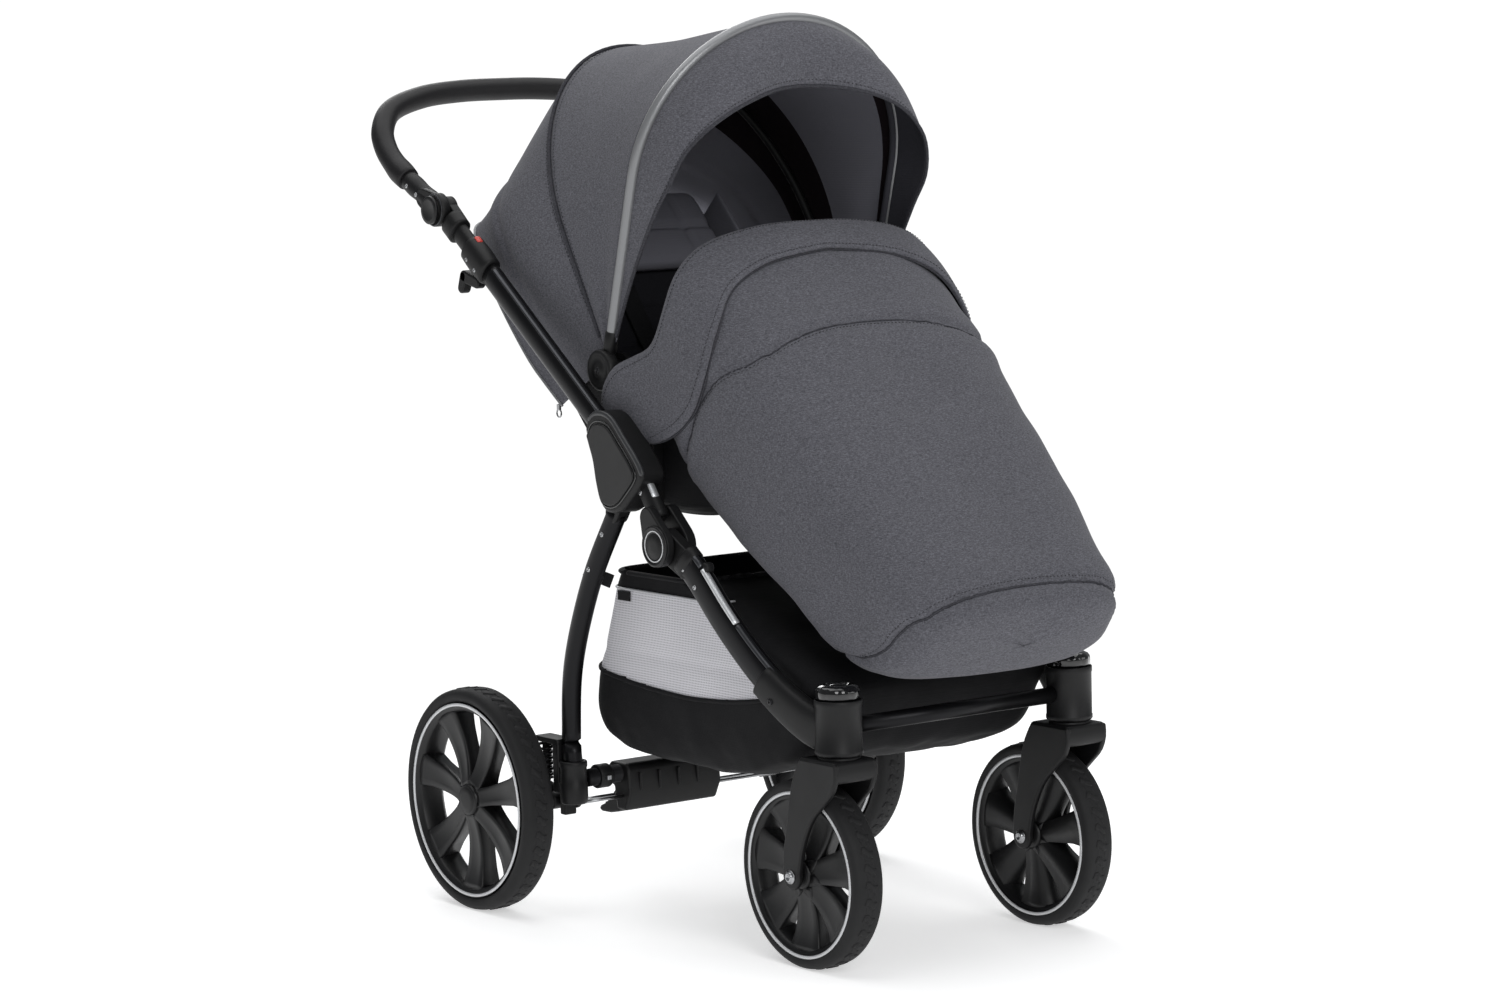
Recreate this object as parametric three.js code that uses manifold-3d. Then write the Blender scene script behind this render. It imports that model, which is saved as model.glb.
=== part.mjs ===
// Baby stroller: two folding side frames, swivelling front wheels, sprung rear wheels,
// a tilting handle, and a lift-off seat with a reclining back, a hood and a foot cover.
// Millimetres, +Z up, the child faces -Y. Names ending in _l are on +X, _r on -X.
import * as THREE from "three";
import { mergeVertices } from "three/addons/utils/BufferGeometryUtils.js";
import Module from "manifold-3d";

const wasm = await Module();
wasm.setup();

// ---- driving dimensions: positions are (y, z) in the side view, with y = 0 at the rear axle ----
const GAP = 0.4;
const FRAME_X = 235; // centre plane of each side frame

const HANDLE_PIVOT = [122, 901];
const TUBE_SLOPE = THREE.MathUtils.degToRad(36.7);
const TUBE_HALF = [11, 16]; // half width across, half height
const CLAMP_FROM = 78; // distances down the tube line from the handle pivot
const CLAMP_TO = 134;
const TUBE_END = 436;
const POST_HALF = [8.5, 12.5];
const DISC_RADIUS = 22;
const BUTTON_TRAVEL = 3;
const GRIP_RADIUS = 15.5;

const REAR_PIVOT = [-276, 563];
const REAR_LEG_ANGLE = -57; // the leg leaves its pivot this way, in degrees above +Y
const FOLD_TURN = 90;
const KNEE_PIVOT = [-365, 501];
const HOUSING_X = [218, 257];
const LEG_SLOT_X = [223.4, 246.6];
const KNEE_RADIUS = 26;
const FRONT_LEG_HALF = [12, 21];
const REAR_LEG_HALF = [11, 14];

const CASTER = [181, -626]; // x, y of the swivel axis
const CASTER_HOUSING = { radius: 29, bottom: 267, top: 334, recess: 328 };
const CAP_TOP = 352;
const FRONT_WHEEL = { radius: 116, halfWidth: 22, trail: 58, hub: 15 };
const REAR_WHEEL = { radius: 145, halfWidth: 23, x: 287, hub: 21 };
const WHEEL_SEGMENTS = 32;
const SPOKES = 7;

const SOCKET = { y: -142, bottom: 150, top: 205, radius: 18 };
const ARM_PIVOT = [-108, 150];
const AXLE_TUBE = { y: -142, z: 180, radius: 11.5 };
const BRAKE = { x: [-166, -20], y: [-168, -116], z: [132, 194] };
const PEDAL_PIVOT = [-112, 150];

const HOOD_PIVOT = [-203, 706];
const FRONT_BOW = { lean: -15.5, half: 207, straight: 250, top: 448 };
const MID_BOW = { lean: 30, half: 200, straight: 190, top: 462 };
const REAR_EDGE = { lean: 59.5, half: 204, straight: 290, top: 398 };
const BOW_RADIUS = 7;
const FABRIC = 5;

const BACK_HINGE = [-160, 590];
const BACK_LEAN = THREE.MathUtils.degToRad(-43.1);
const BACK_LENGTH = 408;
const BACK_HALF = 188;
const SEAT_HALF = 186;
const FOOTREST_HINGE = [-448, 577];
const FOOTREST_SLOPE = THREE.MathUtils.degToRad(40);
const FOOTREST_LENGTH = 215;

// the foot cover is laid out along its own slope: a runs down it, n stands off it
const COVER_AXIS = [-0.78, -0.6258];

const MATERIALS = {
  anodised: new THREE.MeshStandardMaterial({ color: 0x17171a, roughness: 0.38, metalness: 0.7 }),
  plastic: new THREE.MeshStandardMaterial({ color: 0x1b1b1d, roughness: 0.55, metalness: 0 }),
  gloss: new THREE.MeshStandardMaterial({ color: 0x101012, roughness: 0.12, metalness: 0 }),
  leatherette: new THREE.MeshStandardMaterial({ color: 0x1d1c1e, roughness: 0.6, metalness: 0 }),
  rubber: new THREE.MeshStandardMaterial({ color: 0x1c1c1e, roughness: 0.8, metalness: 0 }),
  melange: new THREE.MeshStandardMaterial({ color: 0x55555b, roughness: 0.95, metalness: 0 }),
  lining: new THREE.MeshStandardMaterial({ color: 0x2a2a2e, roughness: 0.95, metalness: 0 }),
  blackCloth: new THREE.MeshStandardMaterial({ color: 0x151517, roughness: 0.9, metalness: 0 }),
  piping: new THREE.MeshStandardMaterial({ color: 0x6d6e70, roughness: 0.4, metalness: 0 }),
  steel: new THREE.MeshStandardMaterial({ color: 0x9a9a9c, roughness: 0.3, metalness: 1 }),
};

// ---- small geometry tools ----

// A closed geometry as a manifold-3d solid.
function solidOf(geometry) {
  const bare = geometry.clone();
  bare.deleteAttribute("normal");
  bare.deleteAttribute("uv");
  const merged = mergeVertices(bare, 1e-3);
  const vertProperties = merged.attributes.position.array;
  const triVerts = new Uint32Array(merged.index.array);
  return new wasm.Manifold(new wasm.Mesh({ numProp: 3, vertProperties, triVerts }));
}

function geometryOf(solid) {
  const mesh = solid.getMesh();
  const indexed = new THREE.BufferGeometry();
  indexed.setAttribute("position", new THREE.BufferAttribute(mesh.vertProperties, 3));
  indexed.setIndex(new THREE.BufferAttribute(mesh.triVerts, 1));
  const geometry = indexed.toNonIndexed();
  geometry.computeVertexNormals();
  return geometry;
}

function join(...geometries) {
  return geometryOf(geometries.map(solidOf).reduce((all, next) => all.add(next)));
}

function cut(geometry, ...tools) {
  return geometryOf(tools.map(solidOf).reduce((rest, tool) => rest.subtract(tool), solidOf(geometry)));
}

// Positions and faces as a geometry whose faces point outwards.
function closed(points, faces) {
  let volume = 0;
  for (const [a, b, c] of faces) {
    volume += points[a].dot(points[b].clone().cross(points[c]));
  }
  const index = faces.flatMap(([a, b, c]) => (volume > 0 ? [a, b, c] : [a, c, b]));
  const geometry = new THREE.BufferGeometry();
  geometry.setAttribute("position", new THREE.Float32BufferAttribute(points.flatMap((p) => p.toArray()), 3));
  geometry.setIndex(index);
  geometry.computeVertexNormals();
  return geometry;
}

// A solid through closed rings of equal count, with a fan at each end.
function loft(rings) {
  const count = rings[0].length;
  const points = rings.flat();
  const faces = [];
  for (let r = 0; r + 1 < rings.length; r++) {
    for (let i = 0; i < count; i++) {
      const [a, b] = [r * count + i, r * count + ((i + 1) % count)];
      faces.push([a, b, b + count], [a, b + count, a + count]);
    }
  }
  const fan = (ring, first, flip) => {
    const middle = points.length;
    points.push(ring.reduce((sum, p) => sum.add(p), new THREE.Vector3()).divideScalar(count));
    for (let i = 0; i < count; i++) {
      const [a, b] = [first + i, first + ((i + 1) % count)];
      faces.push(flip ? [middle, b, a] : [middle, a, b]);
    }
  };
  fan(rings[0], 0, true);
  fan(rings.at(-1), (rings.length - 1) * count, false);
  return closed(points, faces);
}

// A sheet with thickness: rows of outer points and the matching rows of inner points.
function sheet(outer, inner) {
  const [rows, columns] = [outer.length, outer[0].length];
  const points = [...outer.flat(), ...inner.flat()];
  const back = rows * columns;
  const faces = [];
  const quad = (a, b, c, d) => faces.push([a, b, c], [a, c, d]);
  const at = (r, c) => r * columns + c;
  for (let r = 0; r + 1 < rows; r++) {
    for (let c = 0; c + 1 < columns; c++) {
      quad(at(r, c), at(r, c + 1), at(r + 1, c + 1), at(r + 1, c));
      quad(back + at(r, c), back + at(r + 1, c), back + at(r + 1, c + 1), back + at(r, c + 1));
    }
    quad(at(r, 0), at(r + 1, 0), back + at(r + 1, 0), back + at(r, 0));
    const last = columns - 1;
    quad(at(r + 1, last), at(r, last), back + at(r, last), back + at(r + 1, last));
  }
  for (let c = 0; c + 1 < columns; c++) {
    quad(at(0, c + 1), at(0, c), back + at(0, c), back + at(0, c + 1));
    const end = rows - 1;
    quad(at(end, c), at(end, c + 1), back + at(end, c + 1), back + at(end, c));
  }
  return closed(points, faces);
}

// A tube of oval section through points; half = [across, in the side plane].
function tube(points, half, steps = 8, sides = 10) {
  const section = new THREE.Shape();
  section.absellipse(0, 0, half[0], half[1], 0, 2 * Math.PI);
  const path = new THREE.CatmullRomCurve3(points.map((p) => new THREE.Vector3(...p)));
  return new THREE.ExtrudeGeometry(section, { steps, curveSegments: sides / 2, extrudePath: path });
}

// A side-view outline of [y, z] points, given thickness from x0 to x1.
function plate(outline, x0, x1) {
  const shape = new THREE.Shape(outline.map(([y, z]) => new THREE.Vector2(y, z)));
  const geometry = new THREE.ExtrudeGeometry(shape, { depth: x1 - x0, bevelEnabled: false });
  const turn = new THREE.Matrix4().makeBasis(
    new THREE.Vector3(0, 1, 0),
    new THREE.Vector3(0, 0, 1),
    new THREE.Vector3(1, 0, 0),
  );
  return geometry.applyMatrix4(turn).translate(x0, 0, 0);
}

// The outline of two discs and the band between them.
function capsule([y0, z0], r0, [y1, z1], r1, arc = 8) {
  const angle = Math.atan2(z1 - z0, y1 - y0);
  const lean = Math.acos((r0 - r1) / Math.hypot(y1 - y0, z1 - z0));
  const around = (y, z, r, from, to) =>
    Array.from({ length: arc + 1 }, (_, i) => {
      const turn = from + ((to - from) * i) / arc;
      return [y + r * Math.cos(turn), z + r * Math.sin(turn)];
    });
  return [
    ...around(y1, z1, r1, angle - lean, angle + lean),
    ...around(y0, z0, r0, angle + lean, angle + 2 * Math.PI - lean),
  ];
}

// A round bar along X, Y or Z, centred on its middle.
function bar(radius, length, axis, centre, sides = 20) {
  const geometry = new THREE.CylinderGeometry(radius, radius, length, sides);
  if (axis === "x") geometry.rotateZ(Math.PI / 2);
  if (axis === "z") geometry.rotateX(Math.PI / 2);
  return geometry.translate(...centre);
}

function block([x0, x1], [y0, y1], [z0, z1]) {
  const geometry = new THREE.BoxGeometry(x1 - x0, y1 - y0, z1 - z0);
  return geometry.translate((x0 + x1) / 2, (y0 + y1) / 2, (z0 + z1) / 2);
}

// A turned body about X through (x, y, z); the profile is [radius, x] points.
function turned(profile, [x, y, z], segments = WHEEL_SEGMENTS) {
  const points = profile.map(([r, along]) => new THREE.Vector2(r, along));
  if (THREE.ShapeUtils.area(points) < 0) points.reverse();
  if (points[0].x > 0 || points.at(-1).x > 0) points.push(points[0].clone());
  const geometry = new THREE.LatheGeometry(points, segments);
  geometry.rotateY(Math.PI / segments).rotateZ(-Math.PI / 2);
  return geometry.translate(x, y, z);
}

const meshes = [];

function add(parent, name, geometry, material) {
  const mesh = new THREE.Mesh(geometry, MATERIALS[material]);
  mesh.name = name;
  parent.add(mesh);
  meshes.push(mesh);
  return mesh;
}

// ---- frame lines shared by several pieces ----

// A point on the handle tube's line, s from the pivot down it and off square to it.
function onTube(s, off = 0) {
  const [c, n] = [Math.cos(TUBE_SLOPE), Math.sin(TUBE_SLOPE)];
  return [HANDLE_PIVOT[0] - s * c - off * n, HANDLE_PIVOT[1] - s * n + off * c];
}

const tubeLine = (from, to) => [from, (from + to) / 2, to].map((s) => [FRAME_X, ...onTube(s)]);

const FRONT_LEG = [
  [235, -399, 488],
  [231, -421, 466],
  [224, -463, 416],
  [215, -505, 371],
  [207, -553, 331],
];
const REAR_LEG = [
  [235, -258, 535],
  [235, -195, 440],
  [235, -150, 332],
  [235, -140, 240],
  [235, -142, 196],
];
const KNEE_ARM = [
  [235, -306, 590],
  [235, -330, 558],
  [235, -350, 529],
];

// ---- upper side frame ----

function sideHousing() {
  const outline = [
    [-218, 636], [-228, 653], [-246, 660], [-272, 655], [-300, 630], [-327, 604], [-339, 587],
    [-335, 576], [-316, 558], [-292, 539], [-270, 534], [-251, 541], [-240, 568], [-233, 600],
    [-224, 622],
  ];
  const leaf = plate(outline, ...HOUSING_X);
  const reach = 130;
  const towards = (turn) => {
    const angle = THREE.MathUtils.degToRad(turn);
    return [REAR_PIVOT[0] + reach * Math.cos(angle), REAR_PIVOT[1] + reach * Math.sin(angle)];
  };
  const [open, folded] = [REAR_LEG_ANGLE, REAR_LEG_ANGLE + FOLD_TURN];
  const slotRadius = REAR_LEG_HALF[1] + 2;
  const legSlot = join(
    plate([REAR_PIVOT, towards(open), towards((open + folded) / 2), towards(folded)], ...LEG_SLOT_X),
    plate(capsule(REAR_PIVOT, slotRadius, towards(open), slotRadius), ...LEG_SLOT_X),
    plate(capsule(REAR_PIVOT, slotRadius, towards(folded), slotRadius), ...LEG_SLOT_X),
  );
  const tubeBore = tube(tubeLine(TUBE_END - 60, TUBE_END + GAP), TUBE_HALF.map((h) => h + GAP), 2);
  const armBore = tube(KNEE_ARM, [11 + GAP, 13 + GAP], 4);
  return cut(leaf, legSlot, tubeBore, armBore);
}

function kneeArm() {
  const arm = tube(KNEE_ARM, [11, 13], 4);
  const cheek = capsule(KNEE_PIVOT, KNEE_RADIUS, [-347, 534], 13);
  return join(arm, plate(cheek, 244, 258), plate(cheek, 211, 226));
}

// ---- handle ----

function handlePost() {
  const post = tube(tubeLine(DISC_RADIUS + 24, CLAMP_TO - 1), POST_HALF, 2);
  const clampOuter = tube(tubeLine(CLAMP_FROM, CLAMP_TO), [15, 20], 2);
  const sleeve = tube(tubeLine(DISC_RADIUS + 3, 47), [13.5, 17], 2);
  const knuckle = bar(17, 14, "x", [FRAME_X - 6, ...HANDLE_PIVOT]);
  const neck = plate(capsule(HANDLE_PIVOT, 15, onTube(36), 13), FRAME_X - 13, FRAME_X + 1);
  return join(post, clampOuter, sleeve, knuckle, neck);
}

const GRIP_LINE = [
  [235, 206, 939],
  [235, 234, 956],
  [232, 262, 977],
  [221, 288, 1002],
  [190, 313, 1028],
  [130, 331, 1044],
  [65, 339, 1050],
  [0, 341, 1051],
];

function handleBar() {
  const otherSide = GRIP_LINE.slice(0, -1).reverse().map(([x, y, z]) => [-x, y, z]);
  return tube([...GRIP_LINE, ...otherSide], [GRIP_RADIUS, GRIP_RADIUS], 26, 8);
}

function handleArm() {
  const sleeve = tube([[235, 147, 911], [235, 176, 924], [235, 204.5, 938.3]], [13, 14], 3);
  const drum = bar(DISC_RADIUS, 14, "x", [FRAME_X + 9, ...HANDLE_PIVOT]);
  const cheek = plate(capsule(HANDLE_PIVOT, DISC_RADIUS - 1, [158, 916], 13), FRAME_X + 2, FRAME_X + 12);
  const buttonWell = bar(17 + GAP, 2 * BUTTON_TRAVEL + 2, "x", [FRAME_X + 16, ...HANDLE_PIVOT]);
  return cut(join(sleeve, drum, cheek), buttonWell);
}

function foldTrigger() {
  const pivot = onTube(120, -27);
  const finger = onTube(92, -38);
  const tip = onTube(96, -54);
  return join(plate(capsule(pivot, 7, finger, 8), 228, 242), plate(capsule(finger, 8, tip, 7), 228, 242));
}

// ---- front frame ----

function frontLeg() {
  const neck = plate(capsule(KNEE_PIVOT, 21, [-402, 485], 17), 226.6, 243.4);
  return join(tube(FRONT_LEG, FRONT_LEG_HALF, 8), neck);
}

function casterHousing() {
  const { radius, bottom, top, recess } = CASTER_HOUSING;
  const [x, y] = CASTER;
  const body = bar(radius, top - bottom, "z", [x, y, (top + bottom) / 2], 24);
  const bracket = tube([[214, -535, 346], [207, -566, 322], [196, -598, 303]], [17, 26], 4);
  const well = bar(27.4, 12, "z", [x, y, recess + 6], 24);
  const stemBore = bar(9.6, 60, "z", [x, y, bottom + 24]);
  const legBore = tube(
    [[231, -421, 466], [215, -505, 371], [207 - 0.2, -553.3, 330.7]],
    FRONT_LEG_HALF.map((h) => h + GAP),
    6,
  );
  const innerCut = bar(27.4, 30, "z", [x, y, recess + 15], 24);
  return cut(join(body, bracket), well, stemBore, legBore, innerCut);
}

function casterCap() {
  const [x, y] = CASTER;
  const low = CASTER_HOUSING.recess + 4.4;
  const profile = [[0, low], [27, low], [27, 344], [25, 349], [18, CAP_TOP], [0, CAP_TOP]];
  const geometry = new THREE.LatheGeometry(profile.map(([r, z]) => new THREE.Vector2(r, z)), 24);
  return geometry.rotateX(Math.PI / 2).translate(x, y, 0);
}

function casterFork() {
  const [x, y] = CASTER;
  const { radius, halfWidth, trail } = FRONT_WHEEL;
  const axle = [y + trail, standing(radius)];
  const crownTop = CASTER_HOUSING.bottom - GAP;
  const leg = [
    [y - 27, crownTop - 6], [y + 30, crownTop - 6], [y + 42, 238], [y + 52, 205],
    [axle[0] + 16, axle[1] + 20], [axle[0] + 14, axle[1] - 10], [axle[0], axle[1] - 17],
    [axle[0] - 14, axle[1] - 10], [y + 18, 176], [y - 6, 222],
  ];
  const [inner, outer] = [halfWidth + 3, halfWidth + 11];
  const crown = plate(
    [[y - 27, crownTop - 6], [y - 16, 240], [y + 34, 240], [y + 32, crownTop - 6]],
    x - outer + 1,
    x + outer - 1,
  );
  const collar = bar(26, 10, "z", [x, y, crownTop - 5]);
  const stem = bar(9, 56, "z", [x, y, crownTop + 18]);
  const axlePin = bar(5, 2 * outer + 4, "x", [x, ...axle], 16);
  const tabLug = block([x - 12, x + 12], [y + 26, y + 40], [241, 250]);
  return join(
    plate(leg, x + inner, x + outer),
    plate(leg, x - outer, x - inner),
    crown,
    collar,
    stem,
    axlePin,
    tabLug,
  );
}

function swivelLock() {
  const [x, y] = CASTER;
  const pivot = [y + 46, 247];
  return plate(capsule(pivot, 5, [y + 68, 243], 4), x - 11, x + 11);
}

// ---- wheels ----

function tyre({ radius, halfWidth }, centre) {
  const bore = radius - 17.6;
  const tread = 5;
  const profile = Array.from({ length: tread + 1 }, (_, i) => {
    const turn = (Math.PI * i) / tread;
    return [bore + 3 + (radius - bore - 3) * Math.sin(turn) ** 0.75, -halfWidth * Math.cos(turn)];
  });
  return turned([[bore, -halfWidth + 6], ...profile, [bore, halfWidth - 6]], centre);
}

function rim({ radius, halfWidth, hub, bore }, [x, y, z]) {
  const outer = radius - 18;
  const inner = outer - 12;
  const lip = halfWidth - 2;
  const band = turned([[inner, 4 - lip], [outer, 3 - lip], [outer, lip - 3], [inner, lip - 4]], [x, y, z]);
  const boss = turned([[bore, -lip], [hub, -lip], [hub, lip - 2], [bore, lip - 2]], [x, y, z], 16);
  const spokes = Array.from({ length: SPOKES }, (_, i) => {
    const outline = [[bore + 3, -9], [inner + 4, -17], [inner + 4, 17], [bore + 3, 9]];
    const spoke = plate(outline, -7, 9);
    spoke.rotateX((2 * Math.PI * i) / SPOKES + Math.PI / 2);
    return spoke.translate(x, y, z);
  });
  return join(band, boss, ...spokes);
}

// Half a facet's flat: a wheel stands on a flat of its facets, so its axle sits a hair lower.
const standing = (radius) => radius * Math.cos(Math.PI / WHEEL_SEGMENTS);

// ---- rear frame ----

function rearLeg() {
  const neck = plate(capsule(REAR_PIVOT, 15, [-256, 532], 13), 225, 245);
  return join(tube(REAR_LEG, REAR_LEG_HALF, 8), neck);
}

function legSocket() {
  const { y, bottom, top, radius } = SOCKET;
  const body = bar(radius, top - bottom, "z", [FRAME_X, y, (top + bottom) / 2]);
  const legBore = tube([[235, -140, 240], [235, -141.6, 218], [235, -142, 195]], [11 + GAP, 14 + GAP], 3);
  const pivotLug = block([226, 244], [y + 8, y + 20], [134, 168]);
  const towerTop = block([224, 250], [y + 15, -76], [225, 232]);
  const towerBack = block([224, 250], [y + 15, y + 26], [163, 226]);
  const pinLug = plate(capsule([y + 12, 150], 9, ARM_PIVOT, 9), 221, 226.6);
  return cut(join(body, pivotLug, towerBack, towerTop, pinLug), legBore);
}

function suspensionArm() {
  const axle = [0, standing(REAR_WHEEL.radius)];
  const link = plate(capsule(ARM_PIVOT, 11, axle, 13), 229, 250);
  const seat = plate(capsule([-82, 152], 11, [-82, 160], 11), 229, 249);
  const stub = bar(8, 60, "x", [270, ...axle]);
  return join(link, seat, stub);
}

function suspensionSpring() {
  return bar(10, 52, "z", [238, -86, 198.5], 14);
}

function brakeHousing() {
  const [[x0, x1], [y0, y1], [z0, z1]] = [BRAKE.x, BRAKE.y, BRAKE.z];
  const outline = [
    [y0, z0 + 24], [y0 + 4, z1 - 6], [y0 + 10, z1], [y1 - 8, z1], [y1, z1 - 8], [y1, z0 + 30],
    [y1 - 12, z0 + 8], [y1 - 20, z0], [y0 + 12, z0],
  ];
  const body = plate(outline, x0, x1);
  const tubeBore = bar(AXLE_TUBE.radius + GAP, x1 - x0 + 20, "x", [(x0 + x1) / 2, AXLE_TUBE.y, AXLE_TUBE.z]);
  const pedalPocket = block([-146, -84], [-134, y1 + 10], [z0 - 10, 168]);
  return cut(body, tubeBore, pedalPocket);
}

function brakePedal() {
  const hub = bar(7, 56, "x", [-115, ...PEDAL_PIVOT], 16);
  const tread = plate(
    [[-117, 156], [-106, 156], [-84, 134], [-62, 124], [-60, 118], [-84, 116], [-110, 120], [-118, 136]],
    -141,
    -89,
  );
  return join(hub, tread);
}

// ---- seat ----

function seatShell() {
  const outline = [
    [-186, 600], [-192, 574], [-214, 553], [-262, 537], [-330, 532], [-400, 536], [-434, 552],
    [-437, 590], [-425, 592], [-415, 577], [-250, 573], [-205, 577], [-198, 602],
  ];
  const tray = plate(outline, -SEAT_HALF, SEAT_HALF);
  const rib = ([x0, x1]) => plate([[-292, 545], [-248, 545], [-253, 610], [-261, 673], [-285, 673], [-291, 610]], x0, x1);
  const foot = ([x0, x1]) => block([x0, x1], [-286, -252], [552, 604]);
  return join(
    tray,
    rib([SEAT_HALF - 1, 205]),
    rib([-205, 1 - SEAT_HALF]),
    foot([200, 214]),
    foot([-214, -200]),
  );
}

// A flat cushion with rounded edges: crowned between low and high.
function pad(halfX, [y0, y1], [low, high], round = 12) {
  const ring = (inset, z) => {
    const [hx, a, b] = [halfX - inset, y0 + inset, y1 - inset];
    const corner = 24;
    const arc = (cx, cy, from) =>
      Array.from({ length: 4 }, (_, i) => {
        const turn = from + (Math.PI / 6) * i;
        return new THREE.Vector3(cx + corner * Math.cos(turn), cy + corner * Math.sin(turn), z);
      });
    return [
      ...arc(hx - corner, b - corner, 0),
      ...arc(corner - hx, b - corner, Math.PI / 2),
      ...arc(corner - hx, a + corner, Math.PI),
      ...arc(hx - corner, a + corner, (3 * Math.PI) / 2),
    ];
  };
  return loft([ring(round / 2, low), ring(0, low + 6), ring(0, high - 8), ring(round, high)]);
}

function backrest() {
  const side = [[1, 40], [1, 330], [-34, 316], [-60, 256], [-76, 120], [-60, 46]];
  const wall = ([x0, x1]) => plate(side, x0, x1);
  const corner = 84;
  const face = new THREE.Shape();
  face.moveTo(-BACK_HALF, 14).lineTo(BACK_HALF, 14).lineTo(BACK_HALF, BACK_LENGTH - corner);
  face.quadraticCurveTo(BACK_HALF, BACK_LENGTH, BACK_HALF - corner, BACK_LENGTH);
  face.lineTo(corner - BACK_HALF, BACK_LENGTH);
  face.quadraticCurveTo(-BACK_HALF, BACK_LENGTH, -BACK_HALF, BACK_LENGTH - corner);
  const back = new THREE.ExtrudeGeometry(face, { depth: 9, bevelEnabled: false, curveSegments: 5 });
  back.rotateX(Math.PI / 2).translate(0, 1, 0);
  const hoodArm = ([x0, x1]) => plate(capsule([-60, 90], 22, [-111, 55], 20), x0, x1);
  return join(
    back,
    wall([BACK_HALF - 8, BACK_HALF]),
    wall([-BACK_HALF, 8 - BACK_HALF]),
    hoodArm([BACK_HALF - 8, BACK_HALF]),
    hoodArm([-BACK_HALF, 8 - BACK_HALF]),
  );
}

function footrest() {
  const board = new THREE.Shape();
  const [half, corner, length] = [140, 30, FOOTREST_LENGTH];
  board.moveTo(-half, 10).lineTo(half, 10).lineTo(half, length - corner);
  board.quadraticCurveTo(half, length, half - corner, length).lineTo(corner - half, length);
  board.quadraticCurveTo(-half, length, -half, length - corner);
  const flat = new THREE.ExtrudeGeometry(board, { depth: 14, bevelEnabled: false, curveSegments: 4 });
  flat.rotateX(Math.PI).translate(0, 0, 7).rotateX(FOOTREST_SLOPE);
  return flat.translate(0, ...FOOTREST_HINGE);
}

const BUMPER_LINE = [
  [192, -273, 676],
  [191, -278, 698],
  [183, -306, 720],
  [165, -345, 733],
  [115, -384, 742],
  [0, -400, 745],
];

function bumperBar() {
  const otherSide = BUMPER_LINE.slice(0, -1).reverse().map(([x, y, z]) => [-x, y, z]);
  return tube([...BUMPER_LINE, ...otherSide], [10, 10], 18, 8);
}

function buckle() {
  const body = block([-26, 26], [-334, -314], [609, 657]);
  return cut(body, bar(10.5, 20, "y", [0, -336, 634], 16));
}

// ---- hood ----

// Points of an arch that stands on the hood pivots, offset square to its own plane.
function arch({ lean, half, straight, top }, { shrink = 0, offset = 0, foot = 30, arc = 12 } = {}) {
  const tilt = THREE.MathUtils.degToRad(lean);
  const along = [Math.sin(tilt), Math.cos(tilt)];
  const place = (x, h) =>
    new THREE.Vector3(
      x,
      HOOD_PIVOT[0] + h * along[0] + offset * along[1],
      HOOD_PIVOT[1] + h * along[1] - offset * along[0],
    );
  const [w, t] = [half - shrink, top - shrink];
  const side = [foot, (foot + straight) / 2];
  const crown = Array.from({ length: arc + 1 }, (_, i) => {
    const turn = (Math.PI * i) / arc;
    return place(w * Math.cos(turn), straight + (t - straight) * Math.sin(turn));
  });
  return [...side.map((h) => place(w, h)), ...crown, ...side.reverse().map((h) => place(-w, h))];
}

// A hood panel between two arches, with rows in between pushed outwards by swell.
function hoodPanel(from, to, rows = 4) {
  const layer = (shrink) => {
    const [first, last] = [from(shrink), to(shrink)];
    return Array.from({ length: rows + 1 }, (_, r) => first.map((p, i) => p.clone().lerp(last[i], r / rows)));
  };
  return sheet(layer(0), layer(FABRIC));
}

function hoodRear() {
  return hoodPanel(
    (shrink) => arch(MID_BOW, { shrink, offset: BOW_RADIUS + 2, foot: 70 }),
    (shrink) => arch(REAR_EDGE, { shrink, foot: 130 }),
  );
}

function hoodMid() {
  return hoodPanel(
    (shrink) => arch(FRONT_BOW, { shrink, offset: BOW_RADIUS + 2, foot: 40 }),
    (shrink) => arch(MID_BOW, { shrink, offset: -BOW_RADIUS - 2, foot: 40 }),
  );
}

const VISOR_EDGE = [
  [207, -224, 748],
  [206.5, -262, 822],
  [206, -306, 893],
  [203, -338, 935],
  [190, -356, 975],
  [165, -368, 1003],
  [130, -376, 1026],
  [88, -374, 1042],
  [44, -360, 1051],
  [0, -350, 1054],
];

function visor() {
  const rows = 3;
  const layer = (shrink) => {
    const first = arch(FRONT_BOW, { shrink, offset: -BOW_RADIUS - 2, foot: 40, arc: 14 });
    const pull = shrink / 200;
    const half = VISOR_EDGE.map(([x, y, z]) => new THREE.Vector3(x * (1 - pull), y + shrink / 2, z - shrink / 2));
    const edge = [...half, ...half.slice(0, -1).reverse().map((p) => p.clone().setX(-p.x))];
    return Array.from({ length: rows + 1 }, (_, r) => {
      const t = r / rows;
      const swell = 10 * Math.sin(Math.PI * t);
      return first.map((p, i) => {
        const q = p.clone().lerp(edge[i], t);
        const lift = Math.max(0, (q.z - 900) / 240);
        return q.add(new THREE.Vector3(0, -swell * lift, swell * lift * 0.6));
      });
    });
  };
  return sheet(layer(0), layer(FABRIC));
}

function bow(spec, radius, shrink, disc) {
  const line = arch(spec, { shrink, foot: 6, arc: 16 }).map((p) => p.toArray());
  const frameTube = tube(line, [radius, radius], 26, 6);
  const end = (side) => bar(disc.radius, disc.width, "x", [side * disc.x, ...HOOD_PIVOT], 20);
  return join(frameTube, end(1), end(-1));
}

// ---- foot cover and basket ----

function fromCover([a, n]) {
  const [c, s] = [-COVER_AXIS[0], -COVER_AXIS[1]];
  return [-c * a - s * n, -s * a + c * n];
}

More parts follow.
